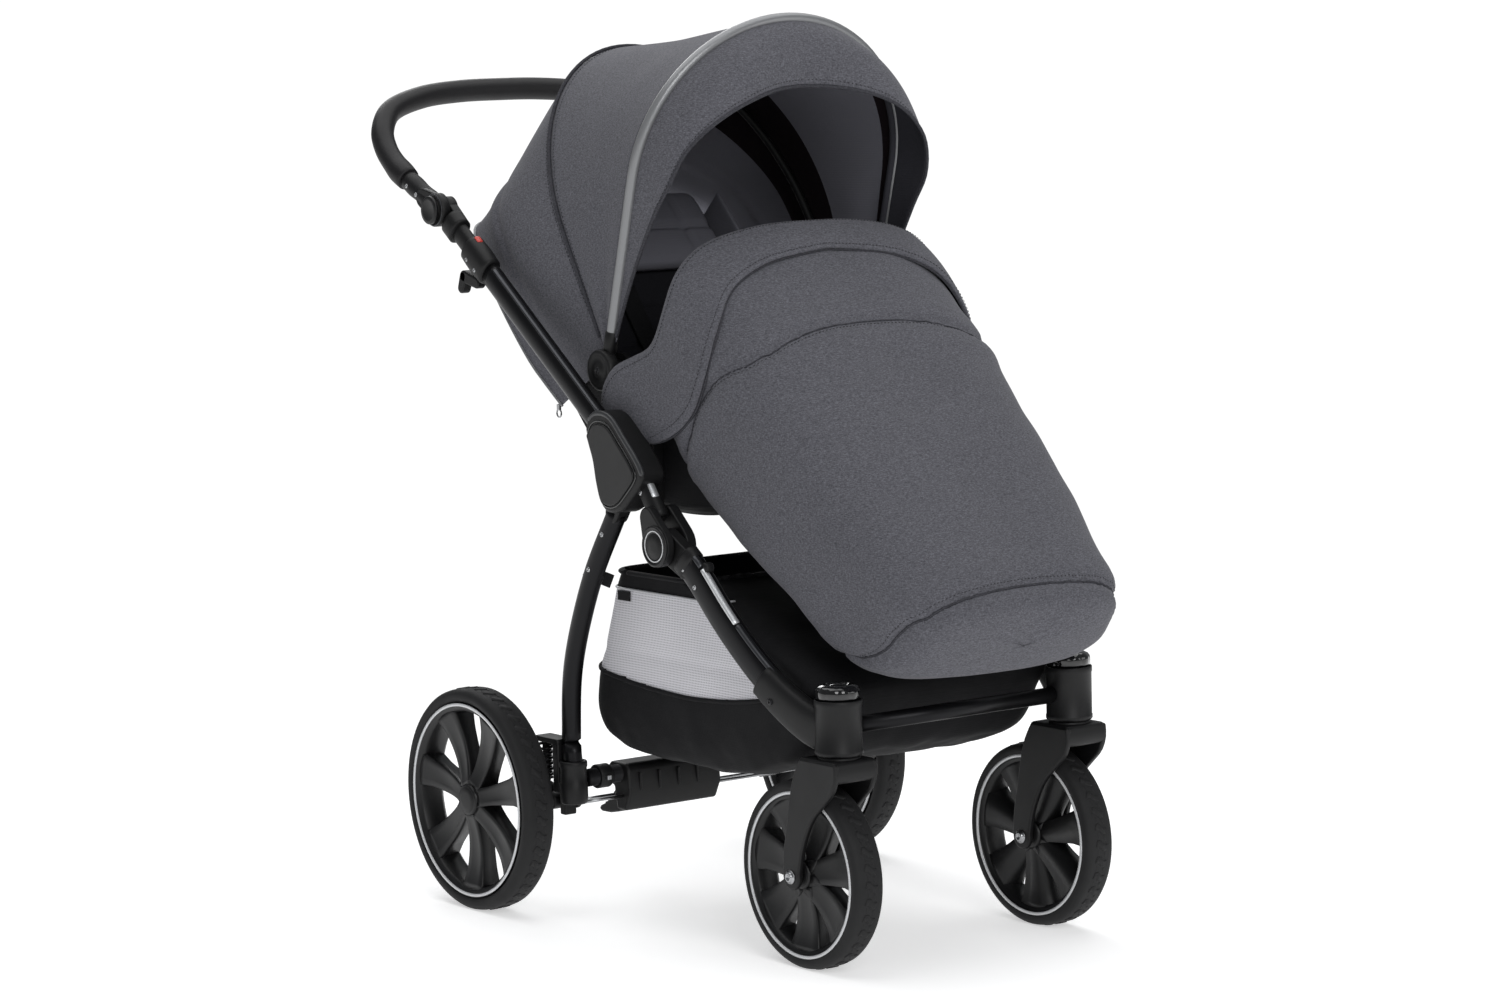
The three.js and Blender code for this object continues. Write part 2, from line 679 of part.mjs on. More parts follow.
// A ring across the foot cover at a down its slope, between two heights off it.
function coverRing(a, low, high, half, tilt = 0, count = 16) {
  return Array.from({ length: count }, (_, i) => {
    const turn = (2 * Math.PI * (i + 0.5)) / count;
    const square = (v) => Math.sign(v) * Math.abs(v) ** 0.62;
    const x = half * square(Math.cos(turn));
    const n = (low + high) / 2 + ((high - low) / 2) * square(Math.sin(turn));
    const along = a + tilt * (high - n);
    return new THREE.Vector3(x, ...fromCover([along, n]));
  });
}

const COVER_STATIONS = [
  // a, low, high, half width, tilt of the open end
  [-274, 664, 906, 206, 0.46],
  [-190, 650, 908, 207, 0.3],
  [-90, 636, 900, 206, 0.1],
  [20, 642, 884, 203, 0],
  [130, 655, 868, 196, 0],
  [220, 660, 858, 185, 0],
  [290, 684, 848, 168, 0],
  [326, 718, 840, 142, 0],
];

function footCover() {
  const wall = 12;
  const outer = COVER_STATIONS.map((station) => coverRing(...station));
  const inner = COVER_STATIONS.map(([a, low, high, half, tilt], i) => {
    const shift = i === COVER_STATIONS.length - 1 ? -wall : 0;
    return coverRing(a + shift, low + wall, high - wall, half - wall, tilt);
  });
  const mouth = coverRing(-330, 676, 894, 194, 0.46);
  const under = plate([[-420, 480], [6, 480], [6, 752], [-420, 752]].map(fromCover), -191, 191);
  return cut(loft(outer), loft([mouth, ...inner]), under);
}

// z, rear y, front y, half width of the basket's outside
const BASKET_LEVELS = [
  [200, -172, -330, 128],
  [216, -128, -450, 165],
  [250, -108, -560, 184],
  [300, -114, -586, 187],
  [345, -130, -589, 187],
  [400, -152, -470, 188],
  [448, -172, -346, 188],
];

function basketRing(z, rear, front, half) {
  const corner = 34;
  const arc = (x, y, from) =>
    Array.from({ length: 4 }, (_, i) => {
      const turn = from + (Math.PI / 6) * i;
      return new THREE.Vector3(x + corner * Math.cos(turn), y + corner * Math.sin(turn), z);
    });
  return [
    ...arc(half - corner, rear - corner, 0),
    ...arc(corner - half, rear - corner, Math.PI / 2),
    ...arc(corner - half, front + corner, Math.PI),
    ...arc(half - corner, front + corner, (3 * Math.PI) / 2),
  ];
}

function basket() {
  const outer = BASKET_LEVELS.map((level) => basketRing(...level));
  const inner = BASKET_LEVELS.map(([z, rear, front, half], i) => {
    const lift = i === 0 ? FABRIC : 0;
    return basketRing(z + lift, rear - FABRIC, front + FABRIC, half - FABRIC);
  });
  const over = basketRing(470, -178, -340, 183);
  return cut(loft(outer), loft([...inner, over]));
}

// ---- assembly ----

function buildSide(side, tag) {
  const group = new THREE.Group();
  group.scale.x = side;
  const named = (name, geometry, material) => add(group, `${name}_${tag}`, geometry, material);

  const tubeTop = CLAMP_TO + GAP;
  named("upper_tube", tube(tubeLine(tubeTop, TUBE_END), TUBE_HALF, 2), "anodised");
  named("side_housing", sideHousing(), "plastic");
  named("knee_arm", kneeArm(), "plastic");
  named("handle_post", handlePost(), "plastic");
  named("handle_arm", handleArm(), "plastic");
  named("hinge_button", bar(17, 5, "x", [FRAME_X + 21.5, ...HANDLE_PIVOT]), "plastic");
  named("fold_trigger", foldTrigger(), "plastic");

  named("front_leg", frontLeg(), "anodised");
  named("caster_housing", casterHousing(), "plastic");
  named("caster_cap", casterCap(), "gloss");
  named("caster_fork", casterFork(), "plastic");
  named("swivel_lock", swivelLock(), "plastic");
  const frontCentre = [CASTER[0], CASTER[1] + FRONT_WHEEL.trail, standing(FRONT_WHEEL.radius)];
  named("front_tyre", tyre(FRONT_WHEEL, frontCentre), "rubber");
  named("front_rim", rim({ ...FRONT_WHEEL, bore: 5 + GAP }, frontCentre), "plastic");

  named("rear_leg", rearLeg(), "anodised");
  named("leg_socket", legSocket(), "plastic");
  named("suspension_arm", suspensionArm(), "plastic");
  named("suspension_spring", suspensionSpring(), "steel");
  const rearCentre = [REAR_WHEEL.x, 0, standing(REAR_WHEEL.radius)];
  named("rear_tyre", tyre(REAR_WHEEL, rearCentre), "rubber");
  named("rear_rim", rim({ ...REAR_WHEEL, bore: 8 + GAP }, rearCentre), "plastic");
  return group;
}

function buildSeat() {
  const seat = new THREE.Group();
  add(seat, "seat_shell", seatShell(), "blackCloth");
  add(seat, "seat_pad", pad(168, [-412, -206], [578.4, 608]), "lining");
  add(seat, "footrest", footrest(), "plastic");
  add(seat, "bumper_bar", bumperBar(), "leatherette");
  add(seat, "buckle", buckle(), "plastic");
  add(seat, "buckle_button", bar(10, 6, "y", [0, -332.6, 634], 16), "plastic");
  add(seat, "foot_cover", footCover(), "melange");

  const back = new THREE.Group();
  back.position.set(0, ...BACK_HINGE);
  back.rotation.x = BACK_LEAN;
  add(back, "backrest", backrest(), "blackCloth");
  const backPad = pad(160, [20, 376], [8.6, 40]);
  backPad.rotateX(Math.PI / 2);
  add(back, "back_pad", backPad, "lining");
  seat.add(back);

  add(seat, "hood_rear", hoodRear(), "melange");
  add(seat, "hood_mid", hoodMid(), "melange");
  add(seat, "visor", visor(), "melange");
  add(seat, "bow_front", bow(FRONT_BOW, BOW_RADIUS, 0, { radius: 26, width: 13, x: 214.5 }), "piping");
  add(seat, "bow_mid", bow(MID_BOW, 5.5, 5.7, { radius: 12, width: 10, x: 194.4 }), "plastic");
  return seat;
}

const model = new THREE.Group();
model.add(buildSide(1, "l"), buildSide(-1, "r"), buildSeat());
add(model, "handle_bar", handleBar(), "leatherette");
const crossLength = 2 * (CASTER[0] - CASTER_HOUSING.radius) - 2 * GAP;
add(model, "front_cross_tube", bar(10, crossLength, "x", [0, CASTER[1], 300], 16), "anodised");
const axleLength = 2 * (FRAME_X - SOCKET.radius) - 2 * GAP;
add(model, "axle_tube", bar(AXLE_TUBE.radius, axleLength, "x", [0, AXLE_TUBE.y, AXLE_TUBE.z], 16), "anodised");
add(model, "brake_housing", brakeHousing(), "plastic");
add(model, "brake_pedal", brakePedal(), "plastic");
add(model, "basket", basket(), "blackCloth");

// The origin is under the middle of the stroller's box, on the ground.
model.updateMatrixWorld(true);
const box = new THREE.Box3();
for (const mesh of meshes) box.expandByObject(mesh, true);
model.position.y = -(box.min.y + box.max.y) / 2;
model.position.z = -box.min.z;

const stroller = new THREE.Group();
stroller.add(model);

export default stroller;
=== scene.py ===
"""A baby stroller's looks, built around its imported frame: finishes, sub-assemblies, then the studio.

Sizes in the classes are millimetres in the side view: y = 0 at the rear axle, z = 0 on the ground.
"""

from __future__ import annotations

import logging
import math
from dataclasses import dataclass
from enum import Enum
from typing import Callable, Iterable, Sequence

import bmesh
import bpy
import numpy as np
from mathutils import Matrix, Vector, noise

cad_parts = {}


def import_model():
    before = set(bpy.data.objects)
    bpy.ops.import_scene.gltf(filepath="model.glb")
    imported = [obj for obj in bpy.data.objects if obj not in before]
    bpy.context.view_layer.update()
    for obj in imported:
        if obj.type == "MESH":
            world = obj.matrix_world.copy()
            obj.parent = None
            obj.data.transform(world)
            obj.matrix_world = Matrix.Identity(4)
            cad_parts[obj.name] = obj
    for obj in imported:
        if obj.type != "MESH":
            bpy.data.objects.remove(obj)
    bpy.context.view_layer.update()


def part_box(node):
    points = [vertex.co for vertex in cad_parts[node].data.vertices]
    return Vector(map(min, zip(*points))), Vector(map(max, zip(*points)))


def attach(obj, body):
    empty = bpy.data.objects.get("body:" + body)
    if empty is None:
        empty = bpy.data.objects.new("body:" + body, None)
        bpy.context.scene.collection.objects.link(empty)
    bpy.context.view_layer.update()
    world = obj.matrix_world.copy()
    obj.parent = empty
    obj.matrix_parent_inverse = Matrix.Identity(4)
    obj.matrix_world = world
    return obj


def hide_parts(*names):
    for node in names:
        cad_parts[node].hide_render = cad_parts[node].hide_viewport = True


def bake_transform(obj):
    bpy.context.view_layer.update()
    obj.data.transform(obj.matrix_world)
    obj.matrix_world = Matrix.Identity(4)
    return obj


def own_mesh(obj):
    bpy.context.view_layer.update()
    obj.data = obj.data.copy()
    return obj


LOG = logging.getLogger("stroller")
MM = 0.001
SIDES = (("l", 1), ("r", -1))
GROUND = -0.000537  # metres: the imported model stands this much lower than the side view
SLOPE_COS, SLOPE_SIN = 0.78, 0.6258  # of the foot cover's slope
CUT_SHARE = 0.8  # assumed share of a sheet's flat rectangle that is left after cutting
Point = Sequence[float]


class Axis(Enum):
    """The row axis that a turned piece stands along."""

    X = 0
    Y = 1
    Z = 2


class Datum:
    """Where the side view's origin is in the row frame."""

    y: float = 0.0
    z: float = 0.0

    @classmethod
    def read(cls) -> None:
        """Takes the rear axle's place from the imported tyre, and the fixed ground offset."""
        low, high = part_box("rear_tyre_l")
        cls.y = (low.y + high.y) / 2
        cls.z = GROUND

    @classmethod
    def row(cls, points: Iterable[Point]) -> np.ndarray:
        """Side-view millimetres as row metres.

        Args:
            points: (x, y, z) points in millimetres.

        Returns:
            The points as an (n, 3) array in metres.
        """
        made = np.array(list(points), float).reshape(-1, 3) * MM
        made[:, 1] += cls.y
        made[:, 2] += cls.z
        return made


# ---- nodes and finishes ----


def add(
    tree: bpy.types.NodeTree, kind: str, inputs: dict | None = None, **settings: object
) -> bpy.types.Node:
    """Adds a node with its settings and links.

    Args:
        tree: the node tree.
        kind: the node's type name.
        inputs: socket name or index to a value or an output socket to link.
        settings: the node's own properties.

    Returns:
        The new node.
    """
    made = tree.nodes.new(kind)
    for key, value in settings.items():
        setattr(made, key, value)
    for key, value in (inputs or {}).items():
        if isinstance(value, bpy.types.NodeSocket):
            tree.links.new(value, made.inputs[key])
        else:
            made.inputs[key].default_value = value
    return made


def linear(colour: str) -> tuple[float, float, float, float]:
    """An sRGB hex colour as linear RGBA.

    Args:
        colour: six hex digits.

    Returns:
        Linear red, green, blue and alpha.
    """
    parts = [int(colour[i : i + 2], 16) / 255 for i in (0, 2, 4)]
    made = [c / 12.92 if c <= 0.04045 else ((c + 0.055) / 1.055) ** 2.4 for c in parts]
    return (made[0], made[1], made[2], 1.0)


@dataclass(frozen=True)
class Finish:
    """A plain finish: moulded or turned stock with one even colour and a faint cloudiness."""

    name: str
    slot: str
    colour: str
    roughness: float = 0.5
    metallic: float = 0.0
    sheen: float = 0.0
    coat: float = 0.0
    specular: float = 0.5

    def build(self) -> bpy.types.Material:
        """Makes the material once and hands back the same one afterwards."""
        known = bpy.data.materials.get(self.name)
        if known:
            return known
        made = bpy.data.materials.new(self.name)
        made.use_nodes = True
        tree = made.node_tree
        shader = tree.nodes["Principled BSDF"]
        shader.inputs["Roughness"].default_value = self.roughness
        shader.inputs["Metallic"].default_value = self.metallic
        shader.inputs["Base Color"].default_value = linear(self.colour)
        shader.inputs["Sheen Weight"].default_value = self.sheen
        shader.inputs["Coat Weight"].default_value = self.coat
        shader.inputs["Specular IOR Level"].default_value = self.specular
        place = add(tree, "ShaderNodeTexCoord").outputs["Object"]
        self.surface(tree, shader, place)
        return made

    def surface(
        self, tree: bpy.types.NodeTree, shader: bpy.types.Node, place: bpy.types.NodeSocket
    ) -> None:
        """Adds handling marks: the roughness drifts a little over about 40 mm.

        Args:
            tree: the material's nodes.
            shader: its Principled shader.
            place: object coordinates, in metres.
        """
        cloud = add(tree, "ShaderNodeTexNoise", {"Vector": place, "Scale": 25.0, "Detail": 3.0})
        spread = add(
            tree,
            "ShaderNodeMapRange",
            
            {"Value": cloud.outputs["Fac"], "To Min": self.roughness * 0.85, "To Max": self.roughness * 1.15},
        )
        tree.links.new(spread.outputs["Result"], shader.inputs["Roughness"])

    def bump(
        self, tree: bpy.types.NodeTree, shader: bpy.types.Node, height: bpy.types.NodeSocket, depth: float,
        strength: float
    ) -> None:
        """Raises the surface by a height pattern.

        Args:
            tree: the material's nodes.
            shader: its Principled shader.
            height: the pattern.
            depth: its depth in metres.
            strength: how strongly it shows, 0 to 1.
        """
        made = add(tree, "ShaderNodeBump", {"Height": height, "Distance": depth, "Strength": strength})
        tree.links.new(made.outputs["Normal"], shader.inputs["Normal"])


@dataclass(frozen=True)
class Moulding(Finish):
    """Spark-eroded nylon or ABS moulding: a fine even grain that breaks up the highlight."""

    grain: float = 0.9  # mm between grains, drawn coarser than the real 0.3 mm so that it shows

    def surface(
        self, tree: bpy.types.NodeTree, shader: bpy.types.Node, place: bpy.types.NodeSocket
    ) -> None:
        """Adds the grain to the cloudiness."""
        super().surface(tree, shader, place)
        grain = add(
            tree, "ShaderNodeTexNoise", {"Vector": place, "Scale": 1000 / self.grain, "Detail": 2.0}
        )
        self.bump(tree, shader, grain.outputs["Fac"], 0.0002, 0.25)


@dataclass(frozen=True)
class Leatherette(Finish):
    """Embossed PU leatherette: small pebbles with soft creases between them."""

    pebble: float = 1.6

    def surface(
        self, tree: bpy.types.NodeTree, shader: bpy.types.Node, place: bpy.types.NodeSocket
    ) -> None:
        """Adds pebbles from a smooth cell pattern."""
        super().surface(tree, shader, place)
        cells = add(
            tree, "ShaderNodeTexVoronoi", {"Vector": place, "Scale": 1000 / self.pebble},
            feature="SMOOTH_F1"
        )
        self.bump(tree, shader, cells.outputs["Distance"], 0.0004, 0.35)


@dataclass(frozen=True)
class Melange(Finish):
    """Melange polyester: light and dark yarns flecked along the weft, with a soft nap."""

    dark: str = "3f3f44"
    light: str = "6c6c73"
    fleck: float = 1.7  # mm along the weft, drawn coarser than the real 0.8 mm yarn so that it shows

    def surface(
        self, tree: bpy.types.NodeTree, shader: bpy.types.Node, place: bpy.types.NodeSocket
    ) -> None:
        """Mixes three yarn colours by stretched noise, and raises a crossed weave."""
        scale = 1000 / self.fleck
        along = add(
            tree, "ShaderNodeMapping", {"Vector": place, "Scale": (0.45, 0.45, 1.5)}
        ).outputs["Vector"]
        upright = add(
            tree, "ShaderNodeMapping", {"Vector": place, "Scale": (1.5, 1.5, 0.5)}
        ).outputs["Vector"]
        weft = add(
            tree, "ShaderNodeTexNoise", {"Vector": along, "Scale": scale, "Detail": 3.0, "Roughness": 0.65}
        )
        warp = add(tree, "ShaderNodeTexNoise", {"Vector": upright, "Scale": scale, "Detail": 2.0})
        both = add(
            tree, "ShaderNodeMix", {"Factor": 0.35, "A": weft.outputs["Fac"], "B": warp.outputs["Fac"]},
            data_type="FLOAT"
        ).outputs["Result"]
        ramp = add(tree, "ShaderNodeValToRGB", {"Fac": both})
        stops = ramp.color_ramp.elements
        stops[0].position, stops[0].color = 0.34, linear(self.dark)
        stops[1].position, stops[1].color = 0.66, linear(self.light)
        middle = stops.new(0.5)
        middle.color = linear(self.colour)
        wash = add(tree, "ShaderNodeTexNoise", {"Vector": place, "Scale": 7.0, "Detail": 2.0})
        shade = add(
            tree, "ShaderNodeMapRange", {"Value": wash.outputs["Fac"], "To Min": 0.93, "To Max": 1.06}
        )
        toned = add(
            tree, "ShaderNodeVectorMath", {0: ramp.outputs["Color"], "Scale": shade.outputs["Result"]},
            operation="SCALE"
        )
        tree.links.new(toned.outputs["Vector"], shader.inputs["Base Color"])
        self.bump(tree, shader, both, 0.0006, 0.45)


@dataclass(frozen=True)
class PlainWeave(Finish):
    """Plain-weave polyester: even threads over and under, drawn at about 1.6 mm."""

    thread: float = 1.6

    def surface(
        self, tree: bpy.types.NodeTree, shader: bpy.types.Node, place: bpy.types.NodeSocket
    ) -> None:
        """Raises crossed threads, with a little unevenness."""
        rows = add(
            tree,
            "ShaderNodeTexWave",
            {"Vector": place, "Scale": 1000 / self.thread / 6.28, "Distortion": 0.6, "Detail": 1.0},
            bands_direction="Z",
        )
        columns = add(
            tree,
            "ShaderNodeTexWave",
            {"Vector": place, "Scale": 1000 / self.thread / 6.28, "Distortion": 0.6, "Detail": 1.0},
            bands_direction="Y",
        )
        both = add(
            tree, "ShaderNodeMath", {0: rows.outputs["Fac"], 1: columns.outputs["Fac"]},
            operation="MULTIPLY"
        )
        self.bump(tree, shader, both.outputs["Value"], 0.0004, 0.3)
        super().surface(tree, shader, place)


@dataclass(frozen=True)
class NetCloth(Finish):
    """Warp-knit spacer net: rows of small dark holes about 3 mm apart in a pale yarn."""

    hole: str = "a3a2a7"
    pitch: float = 3.2

    def surface(
        self, tree: bpy.types.NodeTree, shader: bpy.types.Node, place: bpy.types.NodeSocket
    ) -> None:
        """Darkens and sinks the holes on a square grid across Y and Z."""
        grid = add(tree, "ShaderNodeVectorMath", {0: place, "Scale": 1000 / self.pitch}, operation="SCALE")
        cell = add(tree, "ShaderNodeVectorMath", {0: grid.outputs["Vector"]}, operation="FRACTION")
        centred = add(
            tree, "ShaderNodeVectorMath", {0: cell.outputs["Vector"], 1: (0.5, 0.5, 0.5)},
            operation="SUBTRACT"
        )
        flat = add(
            tree, "ShaderNodeVectorMath", {0: centred.outputs["Vector"], 1: (0.0, 1.0, 1.0)},
            operation="MULTIPLY"
        )
        reach = add(tree, "ShaderNodeVectorMath", {0: flat.outputs["Vector"]}, operation="LENGTH")
        mask = add(
            tree, "ShaderNodeMapRange", {"Value": reach.outputs["Value"], "From Min": 0.2, "From Max": 0.36}
        )
        mixed = add(
            tree,
            "ShaderNodeMix",
            {0: mask.outputs["Result"], 6: linear(self.hole), 7: linear(self.colour)},
            data_type="RGBA",
        )
        tree.links.new(mixed.outputs[2], shader.inputs["Base Color"])
        self.bump(tree, shader, mask.outputs["Result"], 0.0005, 0.4)


ANODISED = Finish("satin_anodised_aluminium", "anodised", "1b1b1d", 0.36, 0.75)
MILLED = Finish("brushed_bare_aluminium", "anodised", "dcdee0", 0.42, 0.85)
# Grey anodised trim on the handle drum's rim and the tube strips; on the front leg strip's ends it is a painted
# highlight.
GREY_EDGE_AND_HIGHLIGHT = Finish("anodised_edge_and_painted_highlight", "anodised", "4a4b4e", 0.34, 0.9)
NYLON = Moulding("spark_grained_nylon", "frame_plastic", "0f0f10", 0.5, specular=0.32)
COVER = Moulding("satin_abs_cover", "frame_plastic", "121213", 0.42, grain=1.4, specular=0.38)
# Paler than the shell; on the leaf housing it lies along the upper edge only.
LIP = Moulding("pale_moulded_lip", "frame_plastic", "2f3032", 0.38, specular=0.5)
GLOSS = Finish("polished_abs", "gloss_cap", "0b0b0c", 0.07, coat=0.6)
RED = Finish("red_acetal_marker", "frame_plastic", "c8443c", 0.35)
STEEL = Finish("zinc_plated_steel", "spring_steel", "a7a8aa", 0.28, 1.0)
BLACK_STEEL = Finish("black_oxide_screws", "frame_plastic", "2a2a2c", 0.3, 0.8)
SILVER = Finish("silver_reflective_band", "frame_plastic", "d3d4d6", 0.35, 0.2)
RUBBER = Moulding("solid_tyre_rubber", "tyre", "1a1a1b", 0.72, grain=1.2, specular=0.35)
GRIP = Leatherette("handle_leatherette", "leatherette", "141315", 0.5, specular=0.34)
PIPING = Leatherette("silver_grey_leatherette", "silver_piping", "88898b", 0.33, 0.45)
CLOTH = Melange("grey_melange", "melange", "57575d", 0.92, sheen=0.08, specular=0.2)
EDGE = Melange(
    "grey_melange_binding", "melange", "3b3b40", 0.9, dark="2d2d31", light="4b4b50", specular=0.2
)
LINING = PlainWeave("charcoal_lining", "lining", "3c3c42", 0.95, specular=0.15)
GREY_LINING = PlainWeave("grey_lining", "lining", "74747c", 0.95, specular=0.15)
SEAT_CLOTH = PlainWeave("quilted_seat_lining", "lining", "232327", 0.95, specular=0.15)
NET_BAND = PlainWeave("dark_hood_net", "lining", "1b1518", 0.9, thread=2.4, specular=0.1)
BLACK_CLOTH = PlainWeave("black_polyester", "black_cloth", "131315", 0.85, specular=0.25)
WEBBING = PlainWeave("ribbed_webbing", "black_cloth", "18181a", 0.8, thread=2.2, specular=0.25)
NET = NetCloth("pale_spacer_net", "black_cloth", "dedde2", 0.85)
THREAD = Finish("dark_sewing_thread", "melange", "2a2a2e", 0.9)
BRIGHT_CORD = Finish("silver_cord", "silver_piping", "bfc0c3", 0.4, 0.2)


# ---- mesh tools ----


def link(name: str, mesh: bpy.types.Mesh) -> bpy.types.Object:
    """Puts a mesh in the scene as an object at the origin."""
    made = bpy.data.objects.new(name, mesh)
    bpy.context.scene.collection.objects.link(made)
    return made


def from_faces(
    name: str, points: np.ndarray, faces: Sequence[Sequence[int]], smooth: bool = True
) -> bpy.types.Object:
    """Makes an object from points and faces, with its faces turned outwards.

    Args:
        name: the object's name.
        points: (n, 3) points in metres.
        faces: vertex indices.
        smooth: whether it is shaded smooth.

    Returns:
        The object.
    """
    mesh = bpy.data.meshes.new(name)
    mesh.from_pydata([tuple(p) for p in points], [], [tuple(f) for f in faces])
    solid = bmesh.new()
    solid.from_mesh(mesh)
    bmesh.ops.remove_doubles(solid, verts=solid.verts, dist=1e-6)
    bmesh.ops.recalc_face_normals(solid, faces=solid.faces)
    solid.to_mesh(mesh)
    solid.free()
    mesh.shade_smooth() if smooth else mesh.shade_flat()
    return link(name, mesh)


def skin(name: str, rows: np.ndarray, ring: bool = False, caps: bool = False) -> bpy.types.Object:
    """A surface through rows of points.

    Args:
        name: the object's name.
        rows: (rows, columns, 3) points in metres.
        ring: whether the last column joins the first.
        caps: whether each end row is closed with a face.

    Returns:
        The object.
    """
    count, columns = rows.shape[:2]
    faces = []
    last = columns if ring else columns - 1
    for r in range(count - 1):
        for c in range(last):
            d = (c + 1) % columns
            faces.append((r * columns + c, r * columns + d, (r + 1) * columns + d, (r + 1) * columns + c))
    if caps:
        faces.append(tuple(range(columns))[::-1])
        faces.append(tuple(range((count - 1) * columns, count * columns)))
    return from_faces(name, rows.reshape(-1, 3), faces)


def smooth_path(points: Iterable[Point], count: int) -> np.ndarray:
    """A Catmull-Rom line through points.

    Args:
        points: what it passes through.
        count: how many samples it has, evenly spaced.

    Returns:
        A (count, n) array.
    """
    p = np.array(list(points), float)
    p = np.vstack([2 * p[0] - p[1], p, 2 * p[-1] - p[-2]])
    fine = []
    for i in range(1, len(p) - 2):
        a, b, c, d = p[i - 1], p[i], p[i + 1], p[i + 2]
        for t in np.linspace(0, 1, 12, endpoint=False):
            fine.append(
                0.5 * (
                    2 * b + (c - a) * t + (2 * a - 5 * b + 4 * c - d) * t**2
                    + (3 * b - a - 3 * c + d) * t**3
                )
            )
    fine.append(p[-2])
    line = np.array(fine)
    length = np.concatenate([[0], np.cumsum(np.linalg.norm(np.diff(line, axis=0), axis=1))])
    at = np.linspace(0, length[-1], count)
    return np.stack([np.interp(at, length, line[:, k]) for k in range(line.shape[1])], 1)


def sweep(
    name: str,
    path: np.ndarray,
    half: Point | np.ndarray,
    sides: int = 20,
    across: Point | None = None,
    square: float = 1.0,
    round_end: float = 0.0,
    offset: Point = (0.0, 0.0),
) -> bpy.types.Object:
    """A tube of oval section along a path.

    Args:
        name: the object's name.
        path: (n, 3) points in millimetres, side-view frame.
        half: half sizes (across, square to it), one pair or one for each point.
        sides: points round the section.
        across: the section's first direction, or None to carry one along the path.
        square: 1 for an ellipse, less for a squarer section.
        round_end: length in millimetres over which each end rounds over.
        offset: moves the section by (across, square to it), in millimetres.

    Returns:
        The object.
    """
    p = np.array(path, float)
    sizes = np.broadcast_to(np.array(half, float), (len(p), 2)).copy()
    tangent = np.gradient(p, axis=0)
    tangent /= np.linalg.norm(tangent, axis=1)[:, None]
    if round_end:
        start, end = [], []
        for f in (1.0, 0.8, 0.45):
            k = math.sqrt(max(0.0, 1 - f * f))
            start.append((p[0] - tangent[0] * round_end * f, sizes[0] * max(k, 0.08), tangent[0]))
            end.append((p[-1] + tangent[-1] * round_end * f, sizes[-1] * max(k, 0.08), tangent[-1]))
        end.reverse()
        p = np.vstack([[s[0] for s in start], p, [e[0] for e in end]])
        sizes = np.vstack([[s[1] for s in start], sizes, [e[1] for e in end]])
        tangent = np.vstack([[s[2] for s in start], tangent, [e[2] for e in end]])
    guide = np.array(across if across is not None else (0.0, 0.3, 1.0), float)
    turn = np.arange(sides) * 2 * math.pi / sides
    ring = np.stack(
        [
            np.sign(np.cos(turn)) * abs(np.cos(turn)) ** square,
            np.sign(np.sin(turn)) * abs(np.sin(turn)) ** square
        ],
        1
    )
    rows = []
    for q, (a, b), t in zip(p, sizes, tangent):
        first = guide - t * guide.dot(t)
        first /= np.linalg.norm(first)
        if across is None:
            guide = first
        second = np.cross(t, first)
        if across is not None and second[2] < 0:
            second = -second
        local = ring * (a, b) + offset
        rows.append(q + local[:, :1] * first + local[:, 1:] * second)
    rows = np.array(rows)
    return skin(name, Datum.row(rows.reshape(-1, 3)).reshape(rows.shape), ring=True, caps=True)


def lathe(
    name: str, profile: Sequence[Point], centre: Point, axis: Axis, count: int = 48, sign: int = 1
) -> bpy.types.Object:
    """A turned piece.

    Args:
        name: the object's name.
        profile: (radius, distance along the axis) points in millimetres.
        centre: where distance 0 is, side-view frame.
        axis: the axis it is turned about.
        count: faces round it.
        sign: -1 to point the distances the other way.

    Returns:
        The object.
    """
    rows = []
    for radius, along in profile:
        turn = np.arange(count) * 2 * math.pi / count
        flat = np.stack(
            [
                max(radius, 1e-4) * np.cos(turn), max(radius, 1e-4) * np.sin(turn),
                np.full(count, sign * along)
            ],
            1
        )
        order = {Axis.X: (2, 0, 1), Axis.Y: (0, 2, 1), Axis.Z: (0, 1, 2)}[axis]
        rows.append(flat[:, order] + np.array(centre))
    rows = np.array(rows)
    closed_profile = tuple(profile[0]) == tuple(profile[-1])
    return skin(
        name, Datum.row(rows.reshape(-1, 3)).reshape(rows.shape), ring=True, caps=not closed_profile
    )


def solid(
    name: str, outline: Sequence[Point], x0: float, x1: float, bevel: float = 1.5
) -> bpy.types.Object:
    """A side-view outline with thickness and rounded edges.

    Args:
        name: the object's name.
        outline: (y, z) points in millimetres.
        x0: the near face.
        x1: the far face.
        bevel: the edges' radius.

    Returns:
        The object.
    """
    n = len(outline)
    points = [(x0, y, z) for y, z in outline] + [(x1, y, z) for y, z in outline]
    faces: list[Sequence[int]] = [tuple(range(n)), tuple(range(n, 2 * n))[::-1]]
    faces += [(i, (i + 1) % n, n + (i + 1) % n, n + i) for i in range(n)]
    made = from_faces(name, Datum.row(points), faces)
    return rounded(made, bevel) if bevel else made


def rounded(obj: bpy.types.Object, radius: float, segments: int = 3) -> bpy.types.Object:
    """Rounds an object's sharp edges, in millimetres, and shades it by area."""
    made = obj.modifiers.new("round", "BEVEL")
    made.width, made.segments = radius * MM, segments
    made.limit_method, made.angle_limit = "ANGLE", math.radians(35)
    made.harden_normals = True
    return freeze(obj)


def carve(obj: bpy.types.Object, cutter: bpy.types.Object) -> bpy.types.Object:
    """Cuts one closed piece by another, which is removed."""
    made = obj.modifiers.new("cut", "BOOLEAN")
    made.operation, made.object, made.solver = "DIFFERENCE", cutter, "EXACT"
    freeze(obj)
    bpy.data.objects.remove(cutter)
    return obj


